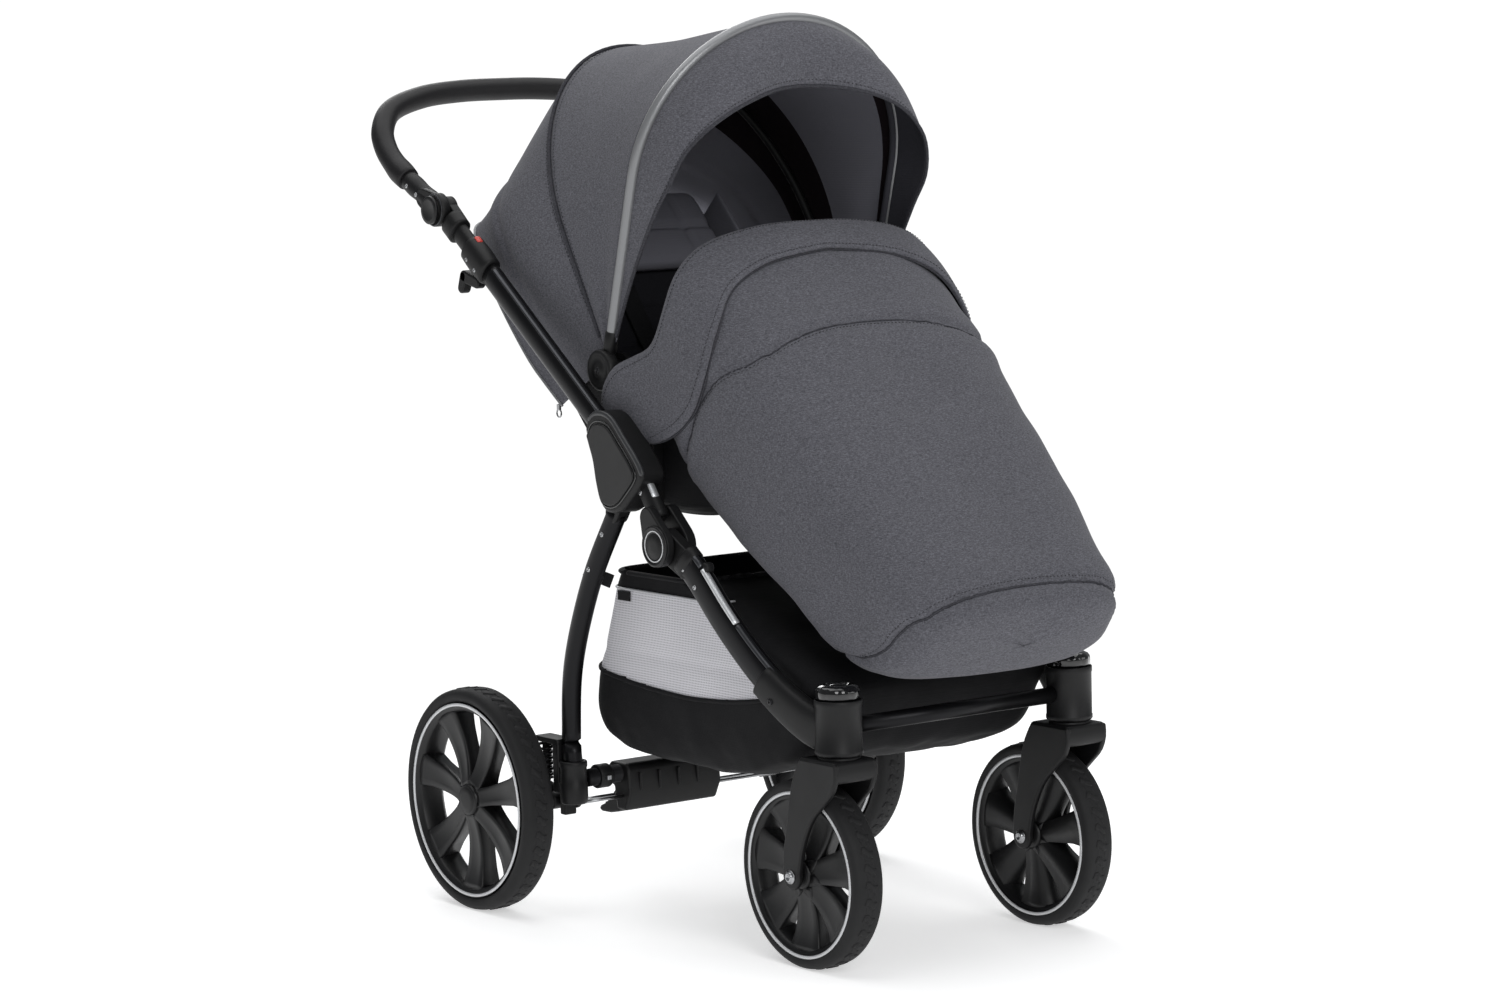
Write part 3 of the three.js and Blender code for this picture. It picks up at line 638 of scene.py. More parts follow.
def block(name: str, low: Point, high: Point, bevel: float = 2.0) -> bpy.types.Object:
    """A box between two corners with rounded edges."""
    (x0, y0, z0), (x1, y1, z1) = low, high
    return solid(name, [(y0, z0), (y1, z0), (y1, z1), (y0, z1)], x0, x1, bevel)


def freeze(obj: bpy.types.Object) -> bpy.types.Object:
    """Replaces an object's mesh by what its modifiers make of it."""
    bpy.context.view_layer.update()
    graph = bpy.context.evaluated_depsgraph_get()
    mesh = bpy.data.meshes.new_from_object(obj.evaluated_get(graph))
    obj.modifiers.clear()
    obj.data = mesh
    return obj


def merge(name: str, pieces: Sequence[bpy.types.Object]) -> bpy.types.Object:
    """Joins objects into one that keeps every material.

    Args:
        name: the joined object's name.
        pieces: what is joined; they are removed.

    Returns:
        The joined object.
    """
    whole = bmesh.new()
    slots: list[bpy.types.Material] = []
    for piece in pieces:
        start = len(whole.faces)
        local = list(piece.data.materials) or [None]
        whole.from_mesh(piece.data)
        whole.faces.ensure_lookup_table()
        for face in whole.faces[start:]:
            material = local[min(face.material_index, len(local) - 1)]
            if material not in slots:
                slots.append(material)
            face.material_index = slots.index(material)
    mesh = bpy.data.meshes.new(name)
    whole.to_mesh(mesh)
    whole.free()
    for material in slots:
        mesh.materials.append(material)
    for piece in pieces:
        bpy.data.objects.remove(piece)
    return link(name, mesh)


def dress(obj: bpy.types.Object, *finishes: Finish) -> bpy.types.Object:
    """Gives an object its finishes, in the order of its material slots."""
    if len(obj.data.materials):
        obj.data.materials.clear()
    for finish in finishes:
        obj.data.materials.append(finish.build())
    return obj


def settle(obj: bpy.types.Object, body: str, *nodes: str) -> bpy.types.Object:
    """Makes an object ride on a body and stand for CAD nodes, and says so.

    Args:
        obj: the finished piece.
        body: the CAD body it moves with.
        nodes: the CAD nodes it replaces.

    Returns:
        The object.
    """
    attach(obj, body)
    if nodes:
        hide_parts(*nodes)
    LOG.info("%s rides on %s, %d faces", obj.name, body, len(obj.data.polygons))
    return obj


def assemble(
    name: str,
    parts: Sequence[bpy.types.Object],
    body: str,
    *nodes: str,
    slot: str = "frame_plastic",
    finish: Finish | None = None,
) -> None:
    """Joins parts into one piece that rides on a body.

    Args:
        name: the piece's name.
        parts: what is joined.
        body: the CAD body it moves with.
        nodes: the CAD nodes it replaces.
        slot: not used.
        finish: given to every part first, unless they are dressed already.
    """
    if finish:
        for part in parts:
            dress(part, finish)
    whole = merge(name, parts)
    settle(whole, body, *nodes)


def thicken(
    obj: bpy.types.Object, thickness: float, subdivide: int = 0, second: int = 0, offset: float = -1.0
) -> bpy.types.Object:
    """Gives a sheet its thickness, and more faces if asked.

    Args:
        obj: the open sheet.
        thickness: in millimetres.
        subdivide: subdivision levels after it.
        second: how many slots further on the inner face's material is.
        offset: -1 grows inwards, 1 outwards.

    Returns:
        The object, with plain mesh.
    """
    made = obj.modifiers.new("thickness", "SOLIDIFY")
    made.thickness, made.offset = thickness * MM, offset
    made.use_even_offset, made.material_offset = False, second
    if subdivide:
        fine = obj.modifiers.new("fine", "SUBSURF")
        fine.levels = fine.render_levels = subdivide
    return freeze(obj)


# ---- repeats ----


class Scatter:
    """A Geometry Nodes tree that puts one item on every point of a mesh, turned and sized by its attributes."""

    NAME = "scatter_item"

    @classmethod
    def tree(cls) -> bpy.types.NodeTree:
        """Builds the tree once: inputs Item, Size and Finish."""
        known = bpy.data.node_groups.get(cls.NAME)
        if known:
            return known
        made = bpy.data.node_groups.new(cls.NAME, "GeometryNodeTree")
        face = made.interface
        face.new_socket("Geometry", in_out="INPUT", socket_type="NodeSocketGeometry")
        face.new_socket("Item", in_out="INPUT", socket_type="NodeSocketObject")
        face.new_socket("Size", in_out="INPUT", socket_type="NodeSocketFloat").default_value = 1.0
        face.new_socket("Finish", in_out="INPUT", socket_type="NodeSocketMaterial")
        face.new_socket("Geometry", in_out="OUTPUT", socket_type="NodeSocketGeometry")
        start = add(made, "NodeGroupInput")
        item = add(made, "GeometryNodeObjectInfo", {"Object": start.outputs["Item"]})
        turn = add(made, "GeometryNodeInputNamedAttribute", {"Name": "turn"}, data_type="FLOAT_VECTOR")
        placed = add(
            made,
            "GeometryNodeInstanceOnPoints",
            {
                "Points": start.outputs["Geometry"],
                "Instance": item.outputs["Geometry"],
                "Rotation": turn.outputs["Attribute"],
                "Scale": start.outputs["Size"],
            },
        )
        real = add(made, "GeometryNodeRealizeInstances", {"Geometry": placed.outputs["Instances"]})
        painted = add(
            made, "GeometryNodeSetMaterial",
            {"Geometry": real.outputs["Geometry"], "Material": start.outputs["Finish"]}
        )
        add(made, "NodeGroupOutput", {"Geometry": painted.outputs["Geometry"]})
        return made

    @classmethod
    def place(
        cls,
        name: str,
        item: bpy.types.Object,
        places: Sequence[tuple[Point, Matrix]],
        finish: Finish,
        size: float = 1.0,
        keep: bool = False,
    ) -> bpy.types.Object:
        """Puts an item at every place and turns the result into a plain mesh.

        Args:
            name: the result's name.
            item: what is repeated, built round the origin in metres.
            places: (point in side-view millimetres, turn) pairs.
            finish: its finish.
            size: scales the item.
            keep: whether the item stays, for another use.

        Returns:
            The object.
        """
        mesh = bpy.data.meshes.new(name)
        mesh.from_pydata([tuple(p) for p in Datum.row([p for p, _ in places])], [], [])
        turn = mesh.attributes.new("turn", "FLOAT_VECTOR", "POINT")
        turn.data.foreach_set(
            "vector", np.array([tuple(m.to_euler()) for _, m in places], np.float32).ravel()
        )
        made = link(name, mesh)
        modifier = made.modifiers.new("scatter", "NODES")
        modifier.node_group = cls.tree()
        values = {"Item": item, "Size": size, "Finish": finish.build()}
        for socket in cls.tree().interface.items_tree:
            if socket.in_out == "INPUT" and socket.name in values:
                modifier[socket.identifier] = values[socket.name]
        freeze(made)
        made.data.shade_smooth()
        dress(made, finish)
        if not keep:
            bpy.data.objects.remove(item)
        return made


def toward(direction: Point, up: Point = (0.0, 0.0, 1.0)) -> Matrix:
    """A turn that takes +Z to a direction and keeps +Y near an up vector."""
    z = Vector(direction).normalized()
    y = Vector(up) - z * Vector(up).dot(z)
    if y.length < 1e-4:
        y = Vector((0.0, 1.0, 0.0)) - z * z.y
    y.normalize()
    return Matrix((y.cross(z), y, z)).transposed()


def bare(profile: Sequence[Point], count: int = 20) -> bpy.types.Object:
    """A small item turned about +Z round the origin, from (radius, height) in millimetres."""
    turn = np.arange(count) * 2 * math.pi / count
    rows = np.array(
        [
            np.stack([max(r, 1e-3) * np.cos(turn), max(r, 1e-3) * np.sin(turn), np.full(count, h)], 1)
            for r, h in profile
        ]
    )
    return skin("item", rows * MM, ring=True, caps=True)


def screw_item(radius: float) -> bpy.types.Object:
    """A pan-head screw with a recessed socket, its seat at z = 0."""
    r = radius
    profile = [
        (r, -0.4), (r, 0.5), (r * 0.86, 1.2), (r * 0.6, 1.5), (r * 0.42, 1.55), (r * 0.36, 0.6), (0.0, 0.5)
    ]
    return bare(profile, 18)


def screws(
    name: str, body: str, places: Sequence[tuple[Point, Point]], radius: float, finish: Finish
) -> None:
    """Screws on one body.

    Args:
        name: the piece's name.
        body: the body they ride on.
        places: (point, outward direction) pairs.
        radius: the head's radius in millimetres.
        finish: their finish.
    """
    made = Scatter.place(name, screw_item(radius), [(p, toward(d)) for p, d in places], finish)
    settle(made, body)


def stitch_line(
    name: str, path: np.ndarray, normals: np.ndarray, body: str | None, finish: Finish, pitch: float = 5.0
) -> bpy.types.Object:
    """A row of raised stitches along a path.

    Args:
        name: the piece's name.
        path: (n, 3) points in millimetres.
        normals: the surface's outward direction at each point.
        body: what it rides on, or None to leave it unattached.
        finish: the thread.
        pitch: millimetres from stitch to stitch.

    Returns:
        The object.
    """
    gaps = np.linalg.norm(np.diff(path, axis=0), axis=1)
    length = np.concatenate([[0], np.cumsum(gaps)])
    spots = np.arange(pitch / 2, length[-1], pitch)
    places = []
    for s in spots:
        here = np.array([np.interp(s, length, path[:, k]) for k in range(3)])
        ahead = np.array([np.interp(s + 1, length, path[:, k]) for k in range(3)])
        behind = np.array([np.interp(s - 1, length, path[:, k]) for k in range(3)])
        up = Vector([np.interp(s, length, normals[:, k]) for k in range(3)]).normalized()
        run = Vector(ahead - behind)
        run = (run - up * run.dot(up)).normalized()
        places.append((here, Matrix((run, up.cross(run), up)).transposed()))
    item = bare([(0.35, 0.0), (0.5, 0.35), (0.3, 0.7)], 6)
    for vertex in item.data.vertices:
        vertex.co.x *= 3.4
    made = Scatter.place(name, item, places, finish)
    return settle(made, body) if body else made


# ---- wheels ----


@dataclass
class Wheel:
    """A wheel: spoked nylon rim, bright ring, hub cap and a solid tyre with a wavy tread."""

    place: str
    radius: float
    half_width: float
    hub: float
    ring: float
    spokes: int = 7
    dish: float = 9.0
    wide: float = 1.0

    def build(self, tag: str, side: int) -> None:
        """Builds one wheel round its packed tyre's centre.

        Args:
            tag: "l" or "r".
            side: 1 on +X, -1 on -X.
        """
        low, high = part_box(f"{self.place}_tyre_{tag}")
        middle = (low + high) / 2
        self.centre = (middle.x / MM, (middle.y - Datum.y) / MM, (middle.z - Datum.z) / MM)
        self.side = side
        self.body = f"{self.place}_wheel_{tag}"
        self.tyre(tag)
        self.rim(tag)
        self.trim(tag)

    def tyre(self, tag: str) -> None:
        """A round-shouldered tyre whose tread is cut by wavy grooves."""
        r, w = self.radius, self.half_width
        bead = r - 17.0
        wall = [
            (bead - 1.5, -w + 6.5), (bead, -w + 3.2), (bead + 3.5, -w + 1.0), (r - 8.0, -w + 0.6),
            (r - 4.2, -w + 2.6)
        ]
        crown = [(r - 2.0, -w + 5.5), (r - 1.1, -w + 10.0), (r - 0.9, 0.0)]
        half = wall + crown
        profile = half + [(a, -b) for a, b in half[-2::-1]] + [half[0]]
        body = dress(lathe(f"tyre_{self.place}_{tag}", profile, self.centre, Axis.X, 96), RUBBER)
        lugs = self.lugs(f"tread_{self.place}_{tag}")
        assemble(
            f"tyre_{self.place}_{tag}", [body, lugs], self.body, f"{self.place}_tyre_{tag}",
            slot=RUBBER.slot
        )

    def lugs(self, name: str) -> bpy.types.Object:
        """Wavy tread blocks, alternately leaning, standing 1 mm proud of the carcass."""
        count = round(self.radius * 0.3)
        pitch = 2 * math.pi * self.radius / count
        item = self.lug_item(pitch * 0.82)
        places = []
        for i in range(count):
            for row, lean in ((-1, 1), (0, -1), (1, 1)):
                angle = 2 * math.pi * (i + 0.5 * (row == 0)) / count
                spread = row * self.half_width * 0.54
                out = (0.34 * row, math.cos(angle), math.sin(angle))
                reach = self.radius - 1.7 - 3.0 * abs(row)
                point = (
                    self.centre[0] + spread,
                    self.centre[1] + reach * math.cos(angle),
                    self.centre[2] + reach * math.sin(angle),
                )
                turn = toward(out, (1.0, 0.0, 0.0)) @ Matrix.Rotation(lean * 0.35, 3, "Z")
                places.append((point, turn))
        return Scatter.place(name, item, places, RUBBER)

    def lug_item(self, length: float) -> bpy.types.Object:
        """One tread block: an S-shaped pad with sloping sides, longer round the wheel."""
        columns = 7
        rows = []
        for height, inset in ((-1.5, 0.0), (1.0, 0.4), (1.7, 1.3)):
            ring = []
            for sign in (1, -1):
                for k in range(columns):
                    t = (k / (columns - 1) - 0.5) * sign
                    wave = 1.6 * math.sin(t * 2 * math.pi)
                    ring.append((t * (length - inset), sign * (4.6 - inset) + wave, height))
            rows.append(ring)
        turned = np.array(rows)[:, :, [1, 0, 2]]
        return skin("lug", turned * MM, ring=True, caps=True)

    def rim(self, tag: str) -> None:
        """The spoked rim: a barrel, dished tapering spokes and a stepped hub."""
        outer, w = self.radius - 18.2, self.half_width - 2
        inner = self.ring - 7.5
        barrel = [
            (outer, -w + 3), (outer, w - 3), (outer - 2, w - 0.5), (self.ring + 2.5, w + 0.4),
            (self.ring - 3.0, w - 0.6),
            (inner, w - 4.5), (inner - 1.5, w - 7), (inner - 2.5, 0), (inner - 1.5, -w + 7),
            (inner, -w + 4.5),
            (self.ring - 3.0, -w + 0.6), (self.ring + 2.5, -w - 0.4), (outer - 2, -w + 0.5),
            (outer, -w + 3),
        ]
        parts = [lathe("barrel", barrel, self.centre, Axis.X, 96)]
        h = self.hub
        hub = [
            (0.0, -w + 1), (h - 3, -w + 1), (h - 1, -w + 3), (h, -w + 7), (h, w - 6), (h - 1, w - 2),
            (h - 3, w - 0.5),
            (h - 6, w - 1.2), (0.0, w - 1.4),
        ]
        parts.append(lathe("hub", hub, self.centre, Axis.X, 48, self.side))
        places = []
        for i in range(self.spokes):
            angle = 2 * math.pi * (i + 0.5) / self.spokes + math.pi / 2
            places.append((self.centre, Matrix.Rotation(angle, 3, "X")))
        for part in parts:
            dress(part, COVER)
        parts.append(Scatter.place("spokes", self.spoke_item(inner), places, COVER))
        assemble(f"rim_{self.place}_{tag}", parts, self.body, f"{self.place}_rim_{tag}")

    def spoke_item(self, inner: float) -> bpy.types.Object:
        """One spoke along +Y: wide at the hub, waisted, wide at the rim, hollowed on its outer face."""
        rows = []
        for t in np.linspace(0, 1, 13):
            reach = self.hub - 4 + t * (inner + 2 - self.hub + 4)
            half = self.wide * (9.0 + 9.0 * t + 2.5 * max(0, t - 0.75) * 4 + 2.0 * max(0, 0.2 - t) * 5)
            face = self.half_width - 5 - self.dish * math.sin(math.pi * t) ** 0.8
            back = -self.half_width + 6 + 3 * math.sin(math.pi * t)
            hollow = 2.2 * math.sin(math.pi * min(1, t * 1.02))
            section = [
                (back, -half * 0.8), (face - 5, -half), (face - 1.2, -half), (face, -half + 1.4), (
                    face - hollow * 0.7, -half * 0.5
                ),
                (face - hollow, 0), (
                    face - hollow * 0.7, half * 0.5
                ), (face, half - 1.4), (face - 1.2, half), (face - 5, half),
                (back, half * 0.8),
            ]
            rows.append([(self.side * x, reach, z) for x, z in section])
        return skin("spoke", np.array(rows) * MM, ring=True, caps=True)

    def trim(self, tag: str) -> None:
        """The bright ring on both faces, and a turned centre cap."""
        w = self.half_width - 2
        parts = []
        for sign in (1, -1):
            band = [
                (self.ring - 1.9, w - 0.4), (self.ring - 1.9, w + 0.9), (self.ring + 1.9, w + 0.9),
                (self.ring + 1.9, w - 0.4)
            ]
            parts.append(dress(lathe("band", band + [band[0]], self.centre, Axis.X, 96, sign), SILVER))
        assemble(f"silver_ring_{self.place}_{tag}", parts, self.body, slot=SILVER.slot)
        cap = [
            (0.0, w + 0.6), (self.hub * 0.45, w + 0.5), (self.hub * 0.8, w - 0.1),
            (self.hub * 0.86, w - 1.4), (0, w - 1.6)
        ]
        made = dress(lathe(f"hub_cap_{self.place}_{tag}", cap, self.centre, Axis.X, 48, self.side), NYLON)
        settle(made, self.body)


# ---- casters ----


@dataclass
class Caster:
    """A swivelling fork with its housing, release cap, lock tab and hub bolt."""

    x: float = 181.0
    y: float = -626.0
    trail: float = 58.0
    radius: float = 29.0
    bottom: float = 267.0
    top: float = 334.0

    def build(self, tag: str, side: int) -> None:
        """Builds one caster on a side."""
        self.side = side
        self.cx = side * self.x
        self.axle = (self.y + self.trail, 114.9)
        self.fork(tag)
        self.housing(tag)
        self.cap(tag)
        self.lock(tag)

    def fork(self, tag: str) -> None:
        """The fork: a domed crown that flows into two tapering legs with round feet."""
        top = self.bottom - 0.4
        parts = [self.leg(sign) for sign in (1, -1)]
        crown = [
            (0.0, top), (24.5, top), (25.8, top - 1.3), (25.8, top - 7), (24.5, top - 9), (0.0, top - 9)
        ]
        parts.append(lathe("crown", crown, (self.cx, self.y, 0), Axis.Z, 40))
        arch = smooth_path(
            [
                (-30, top - 3), (-33.5, 250), (-29, 238), (-10, 236.5), (12, 236.5), (32, 238), (43, 246),
                (38, top - 3)
            ],
            26
        )
        parts.append(solid("arch", [(self.y + a, z) for a, z in arch], self.cx - 32.5, self.cx + 32.5, 6.5))
        parts.append(block("heel", (self.cx - 12, self.y + 26, 241), (self.cx + 12, self.y + 40, 250), 2))
        stem = lathe(
            "stem", [(0.0, top - 2), (9.0, top - 2), (9.0, top + 40), (0.0, top + 40)],
            (self.cx, self.y, 0), Axis.Z, 20
        )
        parts.append(stem)
        assemble(f"fork_{tag}", parts, f"caster_{tag}", f"caster_fork_{tag}", finish=NYLON)
        self.bolts(tag)

    def leg(self, sign: int) -> bpy.types.Object:
        """One fork leg: broad at the crown, tapering to a round foot over the hub."""
        low = (self.axle[0] - self.y, self.axle[1])
        front = smooth_path(
            [
                (-32, 262), (-33, 245), (-25, 226), (-6, 208), (13, 190), (27, 168), (37, 144),
                (low[0] - 15.5, low[1] + 5)
            ],
            20
        )
        foot = [
            (low[0] + 16 * math.cos(a), low[1] + 16 * math.sin(a))
            for a in np.linspace(math.pi * 1.02, 2 * math.pi, 13)
        ]
        rear = smooth_path(
            [
                (low[0] + 16, low[1] + 6), (low[0] + 14, 146), (65, 178), (59, 208), (52, 234), (44, 250),
                (36, 262)
            ],
            18
        )
        outline = [(self.y + a, z) for a, z in [*front, *foot, *rear]]
        inner, outer = 25.0, 33.0
        x0, x1 = sorted((self.cx + sign * inner, self.cx + sign * outer))
        return solid("leg", outline, x0, x1, 3.0)

    def bolts(self, tag: str) -> None:
        """The hub bolt on each side of the fork: a washer and a socket head."""
        profile = [
            (8.5, -0.2), (8.5, 1.1), (6.3, 1.2), (6.1, 3.6), (5.2, 4.4), (3.0, 4.4), (2.8, 2.6), (0.0, 2.6)
        ]
        ends = [((self.cx + s * 33.0, self.axle[0], self.axle[1]), toward((s, 0, 0))) for s in (1, -1)]
        made = Scatter.place(f"hub_bolts_{tag}", bare(profile, 24), ends, STEEL)
        settle(made, f"caster_{tag}")

    def housing(self, tag: str) -> None:
        """The swivel housing: a barrel with a rolled top and foot, and the bracket that takes the front leg."""
        r = self.radius
        shell = [
            (9.6, self.bottom + 0.4), (r - 1.5, self.bottom + 0.2), (r, self.bottom + 2),
            (r, self.bottom + 6), (r - 0.7, self.bottom + 7),
            (r - 0.7, self.top - 8), (r, self.top - 7), (r, self.top - 1), (r - 0.6, self.top),
            (27.5, self.top), (27.5, 328), (9.6, 328),
            (9.6, self.bottom + 0.4),
        ]
        parts = [lathe("barrel", shell, (self.cx, self.y, 0), Axis.Z, 56)]
        line = smooth_path(
            [
                (self.side * x, y, z)
                for x, y, z in ((216, -528, 350), (208, -560, 325), (198, -592, 304), (186, -616, 292))
            ],
            14
        )
        sizes = np.array([[14.0 + 2.4 * t, 22.5 + 4.5 * t] for t in np.linspace(0, 1, 14)])
        parts.append(sweep("bracket", line, sizes, 28, across=(1, 0, 0), square=0.75, round_end=3))
        assemble(f"swivel_housing_{tag}", parts, "front_frame", f"caster_housing_{tag}", finish=NYLON)
        face = self.side * 1.0
        spots = [((face * 225.5, -541, 352), (face, 0, 0)), ((face * 225.0, -550, 327), (face, 0, 0))]
        screws(f"bracket_screws_{tag}", "front_frame", spots, 4.2, BLACK_STEEL)

    def cap(self, tag: str) -> None:
        """The polished release cap: a scalloped dome with a button in its crown."""
        rows = []
        profile = [
            (27.0, 332.6), (27.0, 343.5), (26.4, 346.5), (24.0, 349.6), (19.5, 351.5), (14.5, 352.2),
            (12.5, 351.2), (11.5, 349.6)
        ]
        profile += [(10.6, 350.4), (8.0, 352.0), (0.0, 352.6)]
        count = 120
        turn = np.arange(count) * 2 * math.pi / count
        for k, (radius, z) in enumerate(profile):
            scallop = 0.9 * (0.5 - 0.5 * np.cos(turn * 10)) ** 2 if 1 <= k <= 3 else 0.0 * turn
            r = np.maximum(radius - scallop, 1e-3)
            rows.append(
                np.stack([self.cx + r * np.cos(turn), self.y + r * np.sin(turn), np.full(count, z)], 1)
            )
        made = np.array(rows)
        dome = skin(
            f"release_cap_{tag}", Datum.row(made.reshape(-1, 3)).reshape(made.shape), ring=True, caps=True
        )
        settle(dress(dome, GLOSS), f"cap_{tag}", f"caster_cap_{tag}")

    def lock(self, tag: str) -> None:
        """The swivel lock's tab: a ribbed tongue behind the crown."""
        y, z = self.y + 46, 247.0
        outline = smooth_path(
            [
                (y - 5, z), (y, z + 5), (y + 12, z + 3), (y + 23, z - 3), (y + 20, z - 7), (y, z - 5),
                (y - 5, z)
            ],
            26
        )[:-1]
        tongue = solid("tongue", list(outline), self.cx - 11, self.cx + 11, 1.2)
        ribs = [
            block(
                "rib", (self.cx - 9, y + 6 + 5 * i, z + 1.5),
                (self.cx + 9, y + 8 + 5 * i, z + 4.9 - 1.4 * i), 0.6
            )
            for i in range(3)
        ]
        assemble(f"lock_tab_{tag}", [tongue, *ribs], f"lock_{tag}", f"swivel_lock_{tag}", finish=NYLON)


# ---- the frame ----


@dataclass
class SideFrame:
    """One side of the frame: handle tube, leaf housing, knee joint, front leg and rear leg."""

    x: float = 235.0
    handle_pivot: tuple[float, float] = (122.0, 901.0)
    slope: float = math.radians(36.7)
    front_leg: tuple[Point, ...] = (
        (235, -399, 488), (231, -421, 466), (224, -463, 416), (215, -505, 371), (207, -553, 331)
    )
    rear_leg: tuple[Point, ...] = (
        (235, -258, 535), (235, -195, 440), (235, -150, 332), (235, -140, 240), (235, -142, 196)
    )
    knee: tuple[float, float] = (-365.0, 501.0)
    leaf: tuple[tuple[float, float], ...] = (
        (-218, 636), (-228, 653), (-246, 660), (-272, 655), (-300, 630), (-327, 604), (-339, 587),
        (-335, 576), (-316, 558),
        (-292, 539), (-270, 534), (-251, 541), (-240, 568), (-233, 600), (-224, 622), (-218, 636),
    )

    def build(self, tag: str, side: int) -> None:
        """Builds one side."""
        self.tag, self.side = tag, side
        self.upper_tube()
        self.housing()
        self.knee_joint()
        self.legs()
        self.post()
        self.socket()

    def on_tube(self, s: float, off: float = 0.0, out: float = 0.0) -> tuple[float, float, float]:
        """A point on the handle tube's line: s down it, off square to it, out from its centre plane."""
        c, n = math.cos(self.slope), math.sin(self.slope)
        y, z = self.handle_pivot
        return (self.side * (self.x + out), y - s * c - off * n, z - s * n + off * c)

    def mirror(self, points: Iterable[Point]) -> list[tuple[float, float, float]]:
        """Points of the +X side put on this side."""
        return [(self.side * x, y, z) for x, y, z in points]

    def one(
        self, name: str, parts: Sequence[tuple[bpy.types.Object, Finish]], body: str, *nodes: str
    ) -> None:
        """Dresses and joins parts into one piece that rides on a body."""
        for part, finish in parts:
            dress(part, finish)
        assemble(f"{name}_{self.tag}", [part for part, _ in parts], body, *nodes, slot=parts[0][1].slot)

    def stripe(
        self, path: np.ndarray, rise: float, half: Point, finish: Finish, out: float = 0.0
    ) -> tuple[bpy.types.Object, Finish]:
        """A slim strip along a tube's upper edge; the front leg's grey pieces of it are a painted highlight."""
        made = sweep(
            "stripe", path, half, 10, across=(1, 0, 0), offset=(self.side * out, rise), round_end=1.5
        )
        return made, finish

    def upper_tube(self) -> None:
        """The handle tube: satin black oval with a paler strip along its upper edge."""
        line = np.array([self.on_tube(s) for s in np.linspace(134.5, 436, 30)])
        tube = sweep("tube", line, (11, 16), 36, across=(1, 0, 0), square=0.86)
        strip = self.stripe(line[1:-1], 13.9, (5.2, 2.5), GREY_EDGE_AND_HIGHLIGHT, 3.0)
        self.one("handle_tube", [(tube, ANODISED), strip], "chassis", f"upper_tube_{self.tag}")

    def housing(self) -> None:
        """The leaf housing: a rounded shell with a pale rolled lip and an inset cover plate."""
        outline = smooth_path(self.leaf, 64)[:-1]
        x0, x1 = sorted((self.side * 218, self.side * 255))
        shell = carve(solid("shell", list(outline), x0, x1, 5.0), self.leg_sweep())
        middle = np.array([-277.0, 597.0])
        inner = middle + (outline - middle) * 0.8 + np.array([3.5, -3.0])
        a, b = sorted((self.side * 253.5, self.side * 257.4))
        plate = solid("plate", list(inner), a, b, 1.8)
        groove = [
            (self.side * 255.3, y, z)
            for y, z in middle + (outline - middle) * 0.845 + np.array([2.8, -2.4])
        ]
        line = sweep("groove", np.array([*groove, groove[0]]), (1.1, 0.9), 8)
        upper = [(self.side * 252.4, y, z) for y, z in middle + (outline - middle) * 0.955]
        start = min(range(len(upper)), key=lambda i: (upper[i][1] + 220) ** 2 + (upper[i][2] - 640) ** 2)
        ordered = upper[start:] + upper[:start]
        lip = sweep("lip", np.array(ordered[2:27]), (3.8, 3.4), 14, round_end=4)
        parts = [(shell, NYLON), (plate, COVER), (line, GLOSS), (lip, LIP)]
        self.one("leaf_housing", parts, "chassis", f"side_housing_{self.tag}")

    def leg_sweep(self) -> bpy.types.Object:
        """What the rear leg's neck sweeps as it folds: a quarter-turn wedge round its pivot."""
        py, pz = -276.0, 563.0

        def out(degrees: float, reach: float) -> np.ndarray:
            """A step from the pivot."""
            return reach * np.array([math.cos(math.radians(degrees)), math.sin(math.radians(degrees))])

        pivot = np.array([py, pz])
        back = [pivot + out(a, 20.0) for a in np.linspace(116, 220, 12)]
        corners = [back[-1] + out(-57, 130), pivot + out(-12, 200), back[0] + out(33, 130)]
        return solid("sweep", [*back, *corners], *sorted((self.side * 224.2, self.side * 246.4)), 0)

    def knee_joint(self) -> None:
        """The short arm with its strip, two cheeks, and the round disc with a bright ring."""
        line = smooth_path(
            self.mirror([(235, -300, 598), (235, -312, 582), (235, -334, 552), (235, -348, 532)]), 14
        )
        arm = sweep("arm", line, (11, 13), 28, across=(1, 0, 0), square=0.86)
        strip = self.stripe(line[2:10], 11.6, (5.4, 2.2), MILLED, 2.0)
        parts = [(arm, NYLON), strip]
        y, z = self.knee
        for x0, x1 in ((244, 256), (211, 226)):
            a, b = sorted((self.side * x0, self.side * x1))
            parts.append((solid("cheek", self.capsule(self.knee, 26, (-347, 534), 14), a, b, 2.5), NYLON))
        disc = [
            (0.0, 255.0), (25.5, 255.0), (25.5, 257.4), (24.0, 258.6), (22.4, 258.8), (21.6, 257.6),
            (0.0, 257.4)
        ]
        parts.append((lathe("disc", disc, (0, y, z), Axis.X, 56, self.side), COVER))
        ring = [(19.6, 257.2), (19.6, 258.2), (18.2, 258.2), (18.2, 257.2), (19.6, 257.2)]
        parts.append((lathe("ring", ring, (0, y, z), Axis.X, 56, self.side), SILVER))
        centre = [(0.0, 257.2), (16.6, 257.2), (16.0, 257.9), (6.0, 258.3), (0.0, 258.3)]
        parts.append((lathe("face", centre, (0, y, z), Axis.X, 40, self.side), NYLON))
        self.one("knee_joint", parts, "chassis", f"knee_arm_{self.tag}")
        out = (self.side, 0, 0)
        screws(
            f"knee_screws_{self.tag}", "chassis", [((self.side * 246, -326 + 3, 566 - 3), out)], 3.4, STEEL
        )

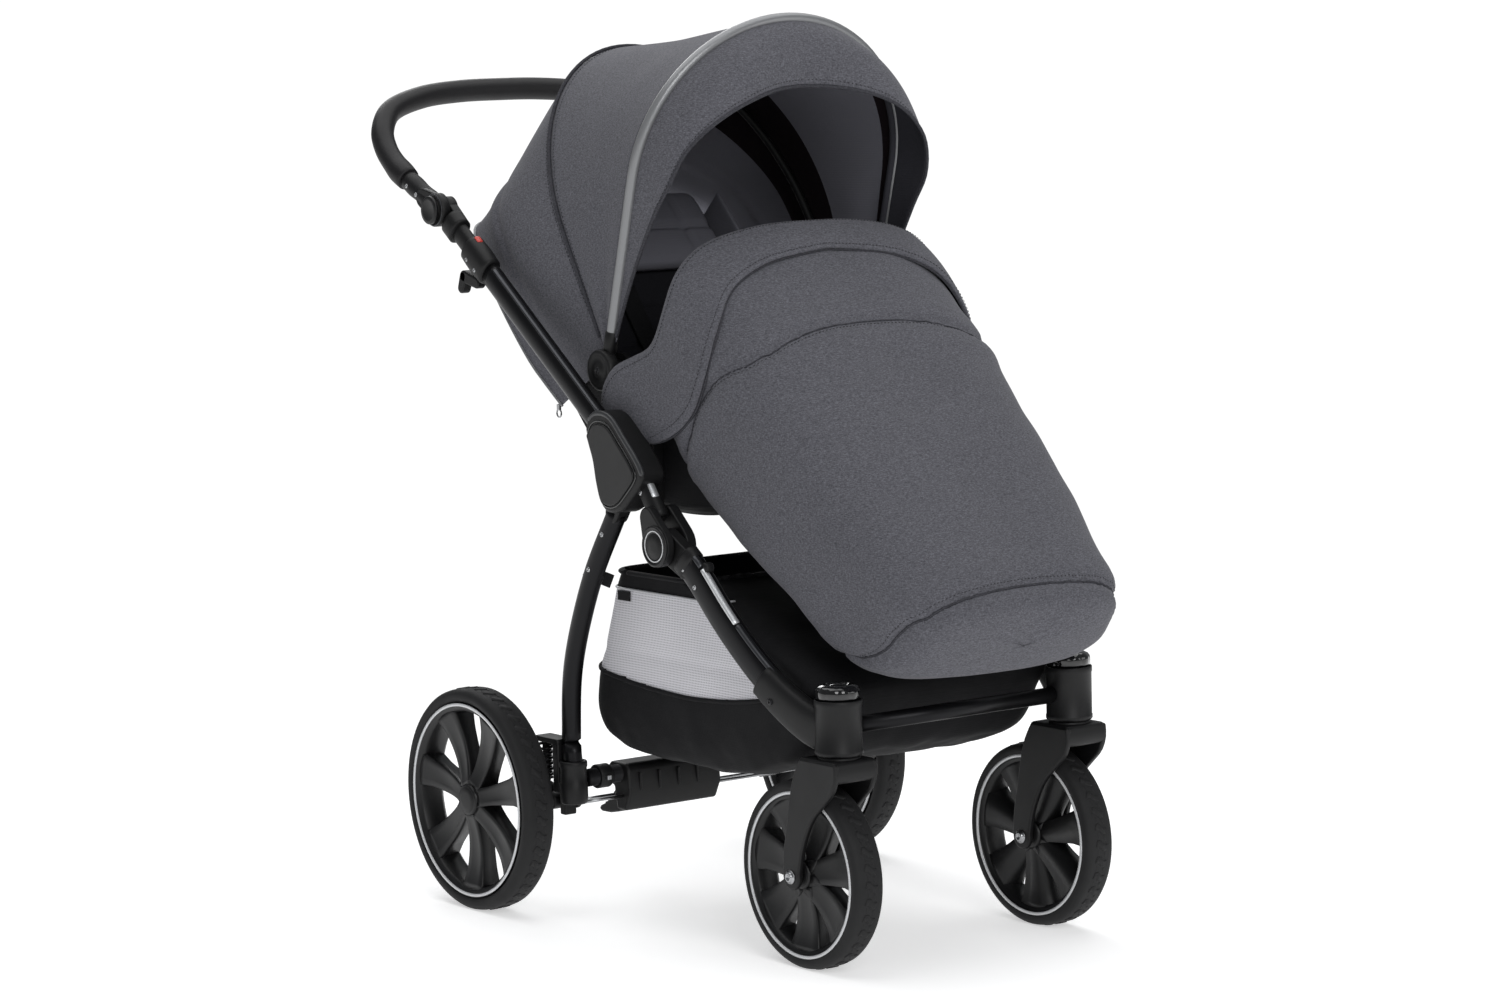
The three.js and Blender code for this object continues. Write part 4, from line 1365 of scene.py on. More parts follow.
    @staticmethod
    def capsule(
        a: tuple[float, float], ra: float, b: tuple[float, float], rb: float, count: int = 14
    ) -> list[tuple[float, float]]:
        """The outline of two discs and the band between them."""
        angle = math.atan2(b[1] - a[1], b[0] - a[0])
        lean = math.acos((ra - rb) / math.hypot(b[0] - a[0], b[1] - a[1]))
        near = [
            (b[0] + rb * math.cos(t), b[1] + rb * math.sin(t))
            for t in np.linspace(angle - lean, angle + lean, count)
        ]
        far = [
            (a[0] + ra * math.cos(t), a[1] + ra * math.sin(t))
            for t in np.linspace(angle + lean, angle + 2 * math.pi - lean, count)
        ]
        return near + far

    def legs(self) -> None:
        """The front leg with its three-part strip, bare aluminium in the middle and a painted highlight in grey at
        each end, and the bowed rear leg, each with its screws.
        """
        front = smooth_path(self.mirror(self.front_leg), 48)
        tube = sweep("tube", front, (12, 21), 36, across=(1, 0, 0), square=0.85)
        a, b = sorted((self.side * 226.8, self.side * 243.2))
        clevis = solid("clevis", self.capsule(self.knee, 20.5, (-405, 481), 18.5), a, b, 2.5)
        parts = [(tube, ANODISED), (clevis, NYLON)]
        # The grey pieces paint the highlight fading along the leg's upper edge; the bright middle is bare
        # aluminium.
        for start, end, finish, rise in (
            (3, 7, GREY_EDGE_AND_HIGHLIGHT, 18.6), (7, 25, MILLED, 18.6), (25, 45, GREY_EDGE_AND_HIGHLIGHT, 18.8)
        ):
            parts.append(self.stripe(front[start:end], rise, (5.4, 3.2), finish, 4.2))
        collar = sweep("collar", front[0:4], (13.2, 22.2), 32, across=(1, 0, 0), square=0.8, round_end=3)
        parts.append((collar, NYLON))
        self.one("front_leg_tube", parts, "front_frame", f"front_leg_{self.tag}")
        bumper = front[7] + np.array([0, -16.0, 14.0])
        knob = lathe("knob", [(0, -6), (6, -6), (7, -4), (7, 4), (6, 6), (0, 6)], tuple(bumper), Axis.X, 20)
        self.one("leg_bumper", [(knob, NYLON)], "front_frame")
        out = (self.side, 0, 0)
        spots = [((front[i][0] + self.side * 11.6, front[i][1] + 3, front[i][2] - 3), out) for i in (3, 9)]
        screws(f"front_leg_screws_{self.tag}", "front_frame", spots, 3.2, STEEL)

        rear = smooth_path(self.mirror(self.rear_leg), 40)
        tube = sweep("tube", rear, (11, 14), 32, across=(1, 0, 0), square=0.9)
        a, b = sorted((self.side * 225.4, self.side * 244.6))
        neck = solid("neck", self.capsule((-276, 563), 15, (-256, 532), 13), a, b, 2)
        self.one("rear_leg_tube", [(tube, ANODISED), (neck, NYLON)], "rear_frame", f"rear_leg_{self.tag}")
        spots = [((rear[i][0] + self.side * 10.6, rear[i][1], rear[i][2]), out) for i in (4, 10)]
        screws(f"rear_leg_screws_{self.tag}", "rear_frame", spots, 3.4, STEEL)

    def post(self) -> None:
        """The post under the handle joint, its sleeve, the clamp with a red marker, and the trigger."""
        line = np.array([self.on_tube(s) for s in np.linspace(44, 133, 14)])
        parts = [(sweep("post", line, (9.5, 14), 28, across=(1, 0, 0), square=0.9), NYLON)]
        sleeve = np.array([self.on_tube(s) for s in np.linspace(26, 47, 6)])
        parts.append(
            (sweep("sleeve", sleeve, (14.5, 18.5), 32, across=(1, 0, 0), square=0.85, round_end=2), NYLON)
        )
        clamp = np.array([self.on_tube(s) for s in np.linspace(81, 131, 12)])
        sizes = np.array(
            [
                [14.2 + 0.8 * math.sin(math.pi * t), 19 + 1.2 * math.sin(math.pi * t)]
                for t in np.linspace(0, 1, 12)
            ]
        )
        parts.append((sweep("clamp", clamp, sizes, 36, across=(1, 0, 0), square=0.8, round_end=3), NYLON))
        knuckle = [(0, -13), (16, -13), (17, -12), (17, 0), (16, 1), (0, 1)]
        centre = (self.side * self.x, *self.handle_pivot)
        parts.append((lathe("knuckle", knuckle, centre, Axis.X, 40, self.side), NYLON))
        a, b = sorted((self.side * (self.x - 13), self.side * (self.x + 0.8)))
        neck_end = self.on_tube(36)[1:]
        parts.append((solid("neck", self.capsule(self.handle_pivot, 15, neck_end, 13), a, b, 2), NYLON))
        marker = np.array([self.on_tube(s, 19.4) for s in np.linspace(84, 92, 5)])
        parts.append((sweep("marker", marker, (4.5, 1.8), 16, across=(1, 0, 0), round_end=2), RED))
        self.one("post_and_clamp", parts, "chassis", f"handle_post_{self.tag}")
        out = (self.side, 0, 0)
        screws(
            f"clamp_screws_{self.tag}", "chassis", [(self.on_tube(s, -6, 13.6), out) for s in (96, 118)],
            3.2, STEEL
        )
        pivot, finger, tip = self.on_tube(120, -27)[1:], self.on_tube(92, -38)[1:], self.on_tube(96, -54)[1:]
        a, b = sorted((self.side * 228.4, self.side * 241.6))
        hook = [(solid("arm", self.capsule(pivot, 7, finger, 8), a, b, 2.5), NYLON)]
        hook.append((solid("tip", self.capsule(finger, 8, tip, 7), a, b, 2.5), NYLON))
        self.one("fold_hook", hook, f"trigger_{self.tag}", f"fold_trigger_{self.tag}")

    def socket(self) -> None:
        """The rear leg's socket, the swing arm behind it and the coil spring between."""
        y = -142.0
        centre = (self.side * self.x, y, 0)
        barrel = [
            (0.0, 150), (15.5, 150), (17, 152), (18, 158), (18, 176), (17, 178), (17, 196), (18, 198),
            (18, 203.5), (17, 205),
            (14.4, 205.2), (14.4, 203), (0.0, 203),
        ]
        parts = [(lathe("barrel", barrel, centre, Axis.Z, 40), NYLON)]
        x0, x1 = sorted((self.side * 224, self.side * 249.6))
        parts.append((block("tower", (x0, y + 13, 163), (x1, y + 26, 226), 2), NYLON))
        parts.append((block("bridge", (x0, y + 13, 224.6), (x1, -76, 232), 2), NYLON))
        a, b = sorted((self.side * 226, self.side * 244))
        parts.append((block("lug", (a, y + 8, 134), (b, y + 20, 168), 2), NYLON))
        c, d = sorted((self.side * 221, self.side * 226.4))
        parts.append((solid("ear", self.capsule((y + 12, 150), 9, (-108, 150), 9), c, d, 1.2), NYLON))
        self.one("socket_tower", parts, "rear_frame", f"leg_socket_{self.tag}")
        link = [
            (
                solid(
                    "link", self.capsule((-108, 150), 11, (0, 143.8), 13),
                    *sorted((self.side * 229, self.side * 249.6)), 3
                ),
                NYLON
            )
        ]
        link.append(
            (
                solid(
                    "seat", self.capsule((-86, 158), 12, (-80, 160), 12),
                    *sorted((self.side * 229.5, self.side * 248.5)), 2
                ),
                NYLON
            )
        )
        stub = lathe("stub", [(0, 245), (8, 245), (8, 300), (0, 300)], (0, 0, 143.8), Axis.X, 24, self.side)
        link.append((stub, STEEL))
        self.one("swing_arm", link, f"swing_arm_{self.tag}", f"suspension_arm_{self.tag}")
        self.spring()

    def spring(self) -> None:
        """The coil: a wire wound round a rubber core, riding on the rear frame."""
        turns, wire = 6.5, 1.9
        t = np.linspace(0, 1, 160)
        angle = t * turns * 2 * math.pi
        path = np.stack(
            [
                self.side * 238 + 8 * np.cos(angle), -86 + 8 * np.sin(angle),
                174.5 + wire / 2 + t * (50.0 - 2 * wire)
            ],
            1
        )
        coil = dress(sweep("coil", path, (wire, wire), 10), BLACK_STEEL)
        core = dress(
            lathe(
                "core", [(0, 173.5), (5, 173.5), (5, 224), (0, 224)], (self.side * 238, -86, 0), Axis.Z, 20
            ),
            RUBBER
        )
        whole = merge(f"coil_spring_{self.tag}", [coil, core])
        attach(whole, "rear_frame")
        anchor = Datum.row([(self.side * 238, -86, 224.0)])[0]
        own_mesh(whole)
        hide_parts(f"suspension_spring_{self.tag}")


@dataclass
class RearAxle:
    """The axle tube with its collars, the brake housing, pedal and the two cable rods."""

    y: float = -142.0
    z: float = 180.0
    radius: float = 11.5

    def build(self) -> None:
        """Builds the axle tube, the brake and the front cross tube."""
        self.tube()
        self.brake()
        self.rods()
        self.cross_tube()

    def tube(self) -> None:
        """The axle tube and a collar with a square-headed screw near each end."""
        r = self.radius
        centre = (0, self.y, self.z)
        parts = [
            dress(lathe("tube", [(0, -216), (r, -216), (r, 216), (0, 216)], centre, Axis.X, 40), ANODISED)
        ]
        for x in (-192, 192):
            collar = [(r, -9), (r + 3.4, -9), (r + 4, -8), (r + 4, 8), (r + 3.4, 9), (r, 9), (r, -9)]
            parts.append(dress(lathe("collar", collar, (x, self.y, self.z), Axis.X, 40), NYLON))
        assemble("rear_axle_tube", parts, "rear_frame", "axle_tube", slot="anodised")
        bolts = [
            block("head", (x - 3, self.y - 19, self.z - 3), (x + 3, self.y - 14.5, self.z + 3), 0.8)
            for x in (-192, 192)
        ]
        assemble("axle_collar_bolts", bolts, "rear_frame", slot="spring_steel", finish=STEEL)

    def brake(self) -> None:
        """The boxy brake housing with ribs, and its broad rounded pedal."""
        y0, y1, z0, z1 = -168.0, -116.0, 132.0, 194.0
        outline = [
            (y0, z0 + 24), (y0 + 4, z1 - 6), (y0 + 10, z1), (y1 - 8, z1), (y1, z1 - 8), (y1, z0 + 34),
            (y1 - 14, z0 + 30), (y1 - 20, z0),
            (y0 + 12, z0),
        ]
        parts = [solid("body", outline, -165.5, -20.5, 4)]
        parts += [
            block("rib", (x, y0 - 0.4, z0 + 26), (x + 3, y0 + 6, z1 - 12), 1)
            for x in (-150, -120, -90, -60)
        ]
        assemble("brake_box", parts, "rear_frame", "brake_housing", finish=NYLON)
        tread = [
            (-117, 155), (-106, 156), (-96, 149), (-84, 136), (-72, 128), (-62, 124), (-60, 119),
            (-66, 116.5), (-84, 117), (-104, 121), (-116, 136)
        ]
        pedal = [solid("tread", tread, -141, -89, 4)]
        pedal.append(lathe("hub", [(0, -28), (7, -28), (7, 28), (0, 28)], (-115, -112, 150), Axis.X, 24))
        pedal += [
            block("grip", (-136, y, z), (-94, y + 3, z + 2), 0.8)
            for y, z in ((-82, 134), (-76, 130), (-70, 127))
        ]
        assemble("brake_lever", pedal, "brake", "brake_pedal", finish=NYLON)

    def rods(self) -> None:
        """The steel rods that carry the brake to each wheel, with a knurled adjuster."""
        parts = []
        for x0, x1 in ((-222, -166), (-20, 222)):
            for y in (-150, -132):
                rod = [(0, x0), (2.1, x0), (2.1, x1), (0, x1)]
                parts.append(dress(lathe("rod", rod, (0, y, 151), Axis.X, 14), STEEL))
        knurl = [(0, 60), (4.5, 60), (5.5, 62), (5.5, 86), (4.5, 88), (0, 88)]
        parts.append(dress(lathe("adjuster", knurl, (0, -141, 151), Axis.X, 16), BLACK_STEEL))
        assemble("brake_rods", parts, "rear_frame", slot="spring_steel")

    def cross_tube(self) -> None:
        """The tube between the swivel housings."""
        made = lathe(
            "front_cross_bar", [(0, -151.5), (10, -151.5), (10, 151.5), (0, 151.5)], (0, -626, 300), Axis.X,
            32
        )
        settle(dress(made, ANODISED), "front_frame", "front_cross_tube")


# ---- handle ----


@dataclass
class Handle:
    """The tilting handle: a leatherette grip between two jointed arms."""

    pivot: tuple[float, float] = (122.0, 901.0)
    grip: tuple[Point, ...] = (
        (235, 206, 939), (235, 234, 956), (232, 262, 977), (221, 288, 1002), (190, 313, 1028),
        (130, 331, 1044), (65, 339, 1050),
        (0, 341, 1051),
    )
    radius: float = 15.3

    def build(self) -> None:
        """Builds the grip and both arms."""
        half = list(self.grip)
        line = smooth_path([*half, *[(-x, y, z) for x, y, z in half[-2::-1]]], 120)
        ends = np.minimum(np.arange(120), np.arange(120)[::-1])
        sizes = np.array([[self.radius + 1.6 * math.exp(-((e - 3) ** 2) / 8)] * 2 for e in ends])
        grip = dress(sweep("grip_bar", line, sizes, 32, round_end=2), GRIP)
        settle(grip, "handle", "handle_bar")
        for tag, side in SIDES:
            self.arm(tag, side)

    def arm(self, tag: str, side: int) -> None:
        """One arm: sleeve, drum with its rim, cheek, the button and its screws."""
        line = smooth_path(
            [(side * 235, 150, 911.5), (side * 235, 176, 924), (side * 235, 203.6, 937.8)], 14
        )
        sizes = np.array(
            [[13 + 0.5 * math.cos(t * 9), 13.6 + 0.5 * math.cos(t * 9)] for t in np.linspace(0, 1, 14)]
        )
        parts = [(sweep("sleeve", line, sizes, 32, across=(1, 0, 0)), NYLON)]
        centre = (side * 235, *self.pivot)
        drum = [
            (0, 2.2), (20.6, 2.2), (22, 3.6), (22, 14.5), (20.8, 15.8), (17.5, 16), (17.5, 12.2), (0, 12.2)
        ]
        parts.append((lathe("drum", drum, centre, Axis.X, 56, side), NYLON))
        rim = [(21.2, 15.2), (21.0, 16.3), (19.6, 16.4), (19.4, 15.6), (21.2, 15.2)]
        parts.append((lathe("rim", rim, centre, Axis.X, 56, side), GREY_EDGE_AND_HIGHLIGHT))
        cheek = SideFrame.capsule(self.pivot, 20.5, (158, 916), 13)
        parts.append((solid("cheek", cheek, *sorted((side * 237.2, side * 246.8)), 2.5), NYLON))
        for part, finish in parts:
            dress(part, finish)
        assemble(f"handle_joint_{tag}", [part for part, _ in parts], "handle", f"handle_arm_{tag}")
        face = [
            (0, 19.2), (15, 19.2), (18.5, 20.0), (18.5, 22.6), (17.5, 23.8), (13, 24), (11.5, 23.4),
            (0, 23.2)
        ]
        button = lathe(f"tilt_push_{tag}", face, centre, Axis.X, 48, side)
        settle(dress(button, COVER), f"tilt_button_{tag}", f"hinge_button_{tag}")
        spots = [((side * 247.6, 168, 920), (side, 0, 0)), ((side * 247.8, 190, 931), (side, 0, 0))]
        screws(f"arm_screws_{tag}", "handle", spots, 3.0, STEEL)


# ---- soft goods ----


def wander(point: Point, scale: float, seed: float = 0.0) -> float:
    """Smooth noise at a point in millimetres, about -1 to 1.

    Args:
        point: where.
        scale: millimetres from lump to lump.
        seed: picks another pattern.

    Returns:
        The noise.
    """
    x, y, z = (float(c) / scale for c in point)
    return noise.noise(Vector((x + seed * 7.3, y - seed * 3.1, z + seed)))


def normals_of(grid: np.ndarray) -> np.ndarray:
    """Unit normals of a (rows, columns, 3) grid."""
    along = np.gradient(grid, axis=0)
    across = np.gradient(grid, axis=1)
    made = np.cross(along, across)
    return made / np.maximum(np.linalg.norm(made, axis=2, keepdims=True), 1e-9)


def lift(grid: np.ndarray, height: Callable[[int, int, np.ndarray], float], inside: Point) -> np.ndarray:
    """Moves a grid's points out along its normals.

    Args:
        grid: (rows, columns, 3) points in millimetres.
        height: how far, from row, column and point.
        inside: a point that the normals face away from.

    Returns:
        The moved grid.
    """
    normal = normals_of(grid)
    away = np.sign(np.sum(normal * (grid - np.array(inside)), axis=2, keepdims=True))
    far = np.array([[height(r, c, grid[r, c]) for c in range(grid.shape[1])] for r in range(grid.shape[0])])
    return grid + normal * away * far[:, :, None]


def cloth_grid(
    name: str, grid: np.ndarray, ring: bool = False, keep: Callable[[int, int], bool] | None = None,
    kind: Callable[[int, int], int] | None = None
) -> tuple[bpy.types.Object, float]:
    """An open sheet through a grid of points.

    Args:
        name: its name.
        grid: (rows, columns, 3) points in millimetres.
        ring: whether the last column joins the first.
        keep: which faces stay, by row and column.
        kind: each face's material slot, by row and column.

    Returns:
        The sheet and its area in square metres.
    """
    rows, columns = grid.shape[:2]
    faces, kinds = [], []
    for r in range(rows - 1):
        for c in range(columns if ring else columns - 1):
            if keep and not keep(r, c):
                continue
            d = (c + 1) % columns
            faces.append((r * columns + c, r * columns + d, (r + 1) * columns + d, (r + 1) * columns + c))
            kinds.append(kind(r, c) if kind else 0)
    mesh = bpy.data.meshes.new(name)
    mesh.from_pydata([tuple(p) for p in Datum.row(grid.reshape(-1, 3))], [], faces)
    mesh.polygons.foreach_set("material_index", kinds)
    mesh.shade_smooth()
    loose = bmesh.new()
    loose.from_mesh(mesh)
    bmesh.ops.delete(loose, geom=[v for v in loose.verts if not v.link_faces], context="VERTS")
    bmesh.ops.recalc_face_normals(loose, faces=loose.faces)
    loose.to_mesh(mesh)
    area = sum(face.calc_area() for face in loose.faces)
    loose.free()
    return link(name, mesh), area


def facing_out(obj: bpy.types.Object, inside: Point) -> bpy.types.Object:
    """Turns an open sheet's faces so that most of them face away from a point in side-view millimetres."""
    centre = Vector(Datum.row([inside])[0])
    outward = sum(p.area * p.normal.dot((p.center - centre).normalized()) for p in obj.data.polygons)
    if outward < 0:
        obj.data.flip_normals()
    return obj


def declare(obj: bpy.types.Object, area: float, width: float) -> None:
    """Logs a sheet's cutting size.

    Its flat length is worked back from its finished area, so it isn't an independent cutting size.

    Args:
        obj: the sheet.
        area: its area in square metres.
        width: its flat width in metres.
    """
    length = area / CUT_SHARE / width
    LOG.info("%s is cut from %.3f x %.3f m", obj.name, width, length)


@dataclass(frozen=True)
class Arch:
    """A hood bow's line: it stands on the hood pivot, leaning, and rounds over from its straight sides."""

    lean: float
    half: float
    straight: float
    top: float
    pivot: tuple[float, float] = (-203.0, 706.0)

    def points(
        self, foot: float, shrink: float = 0.0, offset: float = 0.0, side: int = 16, crown: int = 48
    ) -> np.ndarray:
        """Points from the +X foot over the top to the -X foot, in millimetres.

        Args:
            foot: how far above the pivot it starts.
            shrink: how much smaller it is all round.
            offset: moves it rearwards, square to its plane.
            side: points up each straight side.
            crown: points over the top.

        Returns:
            An (n, 3) array.
        """
        s, c = math.sin(math.radians(self.lean)), math.cos(math.radians(self.lean))
        w, t = self.half - shrink, self.top - shrink
        flat = [(w, foot + (self.straight - foot) * k / side) for k in range(side)]
        flat += [
            (w * math.cos(a), self.straight + (t - self.straight) * math.sin(a))
            for a in np.linspace(0, math.pi, crown + 1)
        ]
        flat += [(-x, h) for x, h in flat[:side][::-1]]
        y, z = self.pivot
        return np.array([(x, y + h * s + offset * c, z + h * c - offset * s) for x, h in flat])


@dataclass
class Hood:
    """The folding hood: piped front bow, a middle bow under a seam, a rear panel with its tail, and a drooping visor."""

    front: Arch = Arch(-15.5, 207.0, 250.0, 448.0)
    middle: Arch = Arch(30.0, 200.0, 190.0, 462.0)
    tail: tuple[Point, ...] = (
        (191, -76, 652), (191, -40, 678), (191, -3, 707), (193, 46, 762), (198, 84, 820), (194, 112, 862)
    )
    back_top: tuple[Point, ...] = (
        (194, 112, 862), (176, 132, 878), (130, 145, 884), (66, 150, 884), (0, 152, 883)
    )
    visor_edge: tuple[Point, ...] = (
        (207, -224, 748), (206.5, -262, 822), (206, -306, 893), (203, -338, 935), (190, -356, 975),
        (165, -368, 1003),
        (130, -376, 1026), (88, -374, 1042), (44, -360, 1051), (0, -350, 1054),
    )
    inside: tuple[float, float, float] = (0.0, -80.0, 850.0)

    def build(self) -> None:
        """Builds the hood from front to back."""
        self.bows()
        self.middle_panel()
        self.rear_panel()
        self.visor()
        self.hinges()

    def blend(self, obj: bpy.types.Object, reach: float, slope: Point) -> None:
        """Bakes a panel's transform into its mesh; it works out the panel's ends across the pivot but does not bend
        it.
        """
        (py, pz), (dy, dz) = self.front.pivot, slope
        ends = Datum.row([(0, py + reach * k * dy, pz + reach * k * dz) for k in (1, -1)])
        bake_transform(obj)

    def bows(self) -> None:
        """The padded piping over the front bow with its ferrules, and the middle bow under its seam."""
        line = self.front.points(36)
        piping = dress(sweep("front_bow_piping", line, (7.3, 7.3), 20), PIPING)
        seam = dress(
            sweep("piping_seam", self.front.points(36, shrink=-3.4, offset=6.2), (1.3, 1.3), 8), EDGE
        )
        inner = dress(sweep("bow_lining", self.front.points(40, shrink=4.5), (5.4, 5.4), 12), LINING)
        ends = []
        for end in (line[:5], line[-5:][::-1]):
            first = end[0] + (end[0] - end[1]) * 1.6
            ferrule = np.array([first, end[0], end[1]])
            ends.append(
                dress(sweep("ferrule", ferrule, (8.6, 8.6), 20, across=(1, 0, 0), round_end=2), NYLON)
            )
        assemble(
            "front_bow_piping", [piping, seam, inner, *ends], "hood_front", "bow_front",
            slot="silver_piping"
        )
        bow = dress(sweep("middle_bow", self.middle.points(8, shrink=8.5), (5, 5), 14), NYLON)
        settle(bow, "hood_middle", "bow_mid")
        cord = dress(sweep("middle_seam", self.middle.points(46, shrink=-1.6), (2.4, 2.4), 10), EDGE)
        settle(cord, "hood_middle")

    def stitches(self, name: str, path: np.ndarray) -> None:
        """Top stitching along a line of a panel, beside the middle seam."""
        out = path - np.array([0, -140, 800])
        stitch_line(name, path[5:-5], out[5:-5], "hood_middle", THREAD, 5.5)

    def middle_panel(self) -> None:
        """The panel between the bows, drawn tight with faint pulls towards the hinges."""
        first, last = self.front.points(30, offset=6.0, shrink=-1), self.middle.points(30)
        rows = 30
        grid = np.array([first + (last - first) * r / (rows - 1) for r in range(rows)])

        def height(r: int, c: int, p: np.ndarray) -> float:
            """How far the panel stands out at a point."""
            t = r / (rows - 1)
            low = max(0.0, 1 - (p[2] - 700) / 260)
            pull = 2.6 * low * math.sin(t * 9.4 + 0.6) * math.sin(math.pi * t)
            return -5.5 * math.sin(math.pi * t) * (1 - low) + pull + 1.6 * wander(p, 90, 1) * math.sin(math.pi * t) ** 0.5

        grid = lift(grid, height, self.inside)
        self.stitches("seam_stitch_front", grid[-2])
        made, area = cloth_grid(
            "hood_middle_cloth", grid, kind=lambda r, c: 0 if r > rows * 0.72 or r < 3 else 2
        )
        made = thicken(
            dress(facing_out(made, self.inside), CLOTH, NET_BAND, CLOTH, GREY_LINING), 2.2, subdivide=1,
            second=1
        )
        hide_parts("hood_mid")
        self.blend(made, 58, (0.992, -0.126))
        declare(made, area, 0.95)

    def rear_panel(self) -> None:
        """The rear panel: a soft bulge behind the middle bow, a fold low down, and the tail over the backrest's side."""
        side = smooth_path(self.tail, 17)[:-1]
        crown = smooth_path([*self.back_top, *[(-x, y, z) for x, y, z in self.back_top[-2::-1]]], 49)
        last = np.vstack([side, crown, (side * (-1, 1, 1))[::-1]])
        first = self.middle.points(10)
        rows = 34
        grid = np.array([first + (last - first) * r / (rows - 1) for r in range(rows)])

        def height(r: int, c: int, p: np.ndarray) -> float:
            """How far the panel stands out at a point."""
            t = r / (rows - 1)
            up = min(1.0, max(0.0, (p[2] - 700) / 200))
            bulge = 17 * math.sin(math.pi * t ** 0.9) * up
            fold = -4.0 * math.exp(-(((t - 0.6) / 0.035) ** 2)) * up
            fold += 2.2 * math.exp(-(((t - 0.68) / 0.06) ** 2)) * up
            return bulge + fold + 2.4 * wander(p, 80, 2) * math.sin(math.pi * t) ** 0.5

        grid = lift(grid, height, (0, -60, 800))
        self.stitches("seam_stitch_rear", grid[1])
        made, area = cloth_grid("hood_rear_cloth", grid, kind=lambda r, c: 0 if r < 9 else 2)
        made = thicken(
            dress(facing_out(made, (0, -60, 800)), CLOTH, NET_BAND, CLOTH, GREY_LINING), 2.2, subdivide=1,
            second=1
        )
        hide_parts("hood_rear")
        self.blend(made, 38, (0.710, -0.704))
        declare(made, area, 0.95)
        edge = sweep("tail_piping", last, (2.0, 2.0), 10, round_end=1)
        settle(dress(edge, PIPING), "back")
        tip = np.array([-192.0, -70.0, 650.0])
        ring = [
            tip + np.array([0, 5 * math.cos(a), -8 + 5 * math.sin(a)])
            for a in np.linspace(0, 2 * math.pi, 20)
        ]
        pull = [dress(sweep("ring", np.array(ring), (1.1, 1.1), 8, across=(1, 0, 0)), STEEL)]
        pull.append(dress(block("slider", tip + (-2, -3, -4), tip + (2, 3, 4), 1), STEEL))
        assemble("tail_zip_pull", pull, "back", slot="spring_steel")

    def visor(self) -> None:
        """The visor: a padded band that droops forwards from the front bow and turns under at its edge."""
        first = self.front.points(26, offset=-6.0, shrink=0.5)
        half = smooth_path(self.visor_edge, 41)
        edge = np.vstack([half, (half[:-1] * (-1, 1, 1))[::-1]])
        rows = 16
        grid = np.array([first + (edge - first) * r / (rows - 1) for r in range(rows)])
        for r in range(rows):
            t = r / (rows - 1)
            up = np.clip((grid[r, :, 2] - 880) / 200, 0, 1)
            grid[r, :, 1] -= 15 * math.sin(math.pi * t) * up
            grid[r, :, 2] += 11 * math.sin(math.pi * t) * up
        grid = lift(
            grid, lambda r, c, p: 1.2 * wander(p, 70, 3) * math.sin(math.pi * r / (rows - 1)),
            (0, -120, 850)
        )
        made, area = cloth_grid("visor_cloth", grid)
        made = thicken(dress(facing_out(made, (0, -120, 850)), CLOTH, LINING), 2.6, subdivide=1, second=1)
        settle(made, "hood_front", "visor")
        declare(made, area, 0.22)
        binding = dress(sweep("visor_binding", edge, (2.3, 2.3), 10), EDGE)
        settle(binding, "hood_front")
        path = (edge + grid[rows - 3]) / 2
        stitch_line(
            "visor_stitch", path[2:-2], (path - np.array([0, -100, 850]))[2:-2], "hood_front", THREAD, 5.5
        )

    def hinges(self) -> None:
        """The hinge discs with their centre screws."""
        y, z = self.front.pivot
        for tag, side in SIDES:
            outer = [
                (0, 206), (25, 206), (26, 207.5), (26, 219), (24.5, 221), (20, 221.6), (18.5, 220.6),
                (9, 220.8), (8, 222.4), (0, 222.6)
            ]
            disc = dress(lathe(f"hood_disc_{tag}", outer, (0, y, z), Axis.X, 56, side), NYLON)
            settle(disc, "hood_front")
            inner = [(0, 189.4), (12, 189.4), (12, 199.4), (0, 199.4)]
            settle(
                dress(lathe(f"bow_knuckle_{tag}", inner, (0, y, z), Axis.X, 32, side), NYLON), "hood_middle"
            )
            screws(
                f"hood_screw_{tag}", "hood_front", [((side * 222.2, y, z), (side, 0, 0))], 4.4, BLACK_STEEL
            )


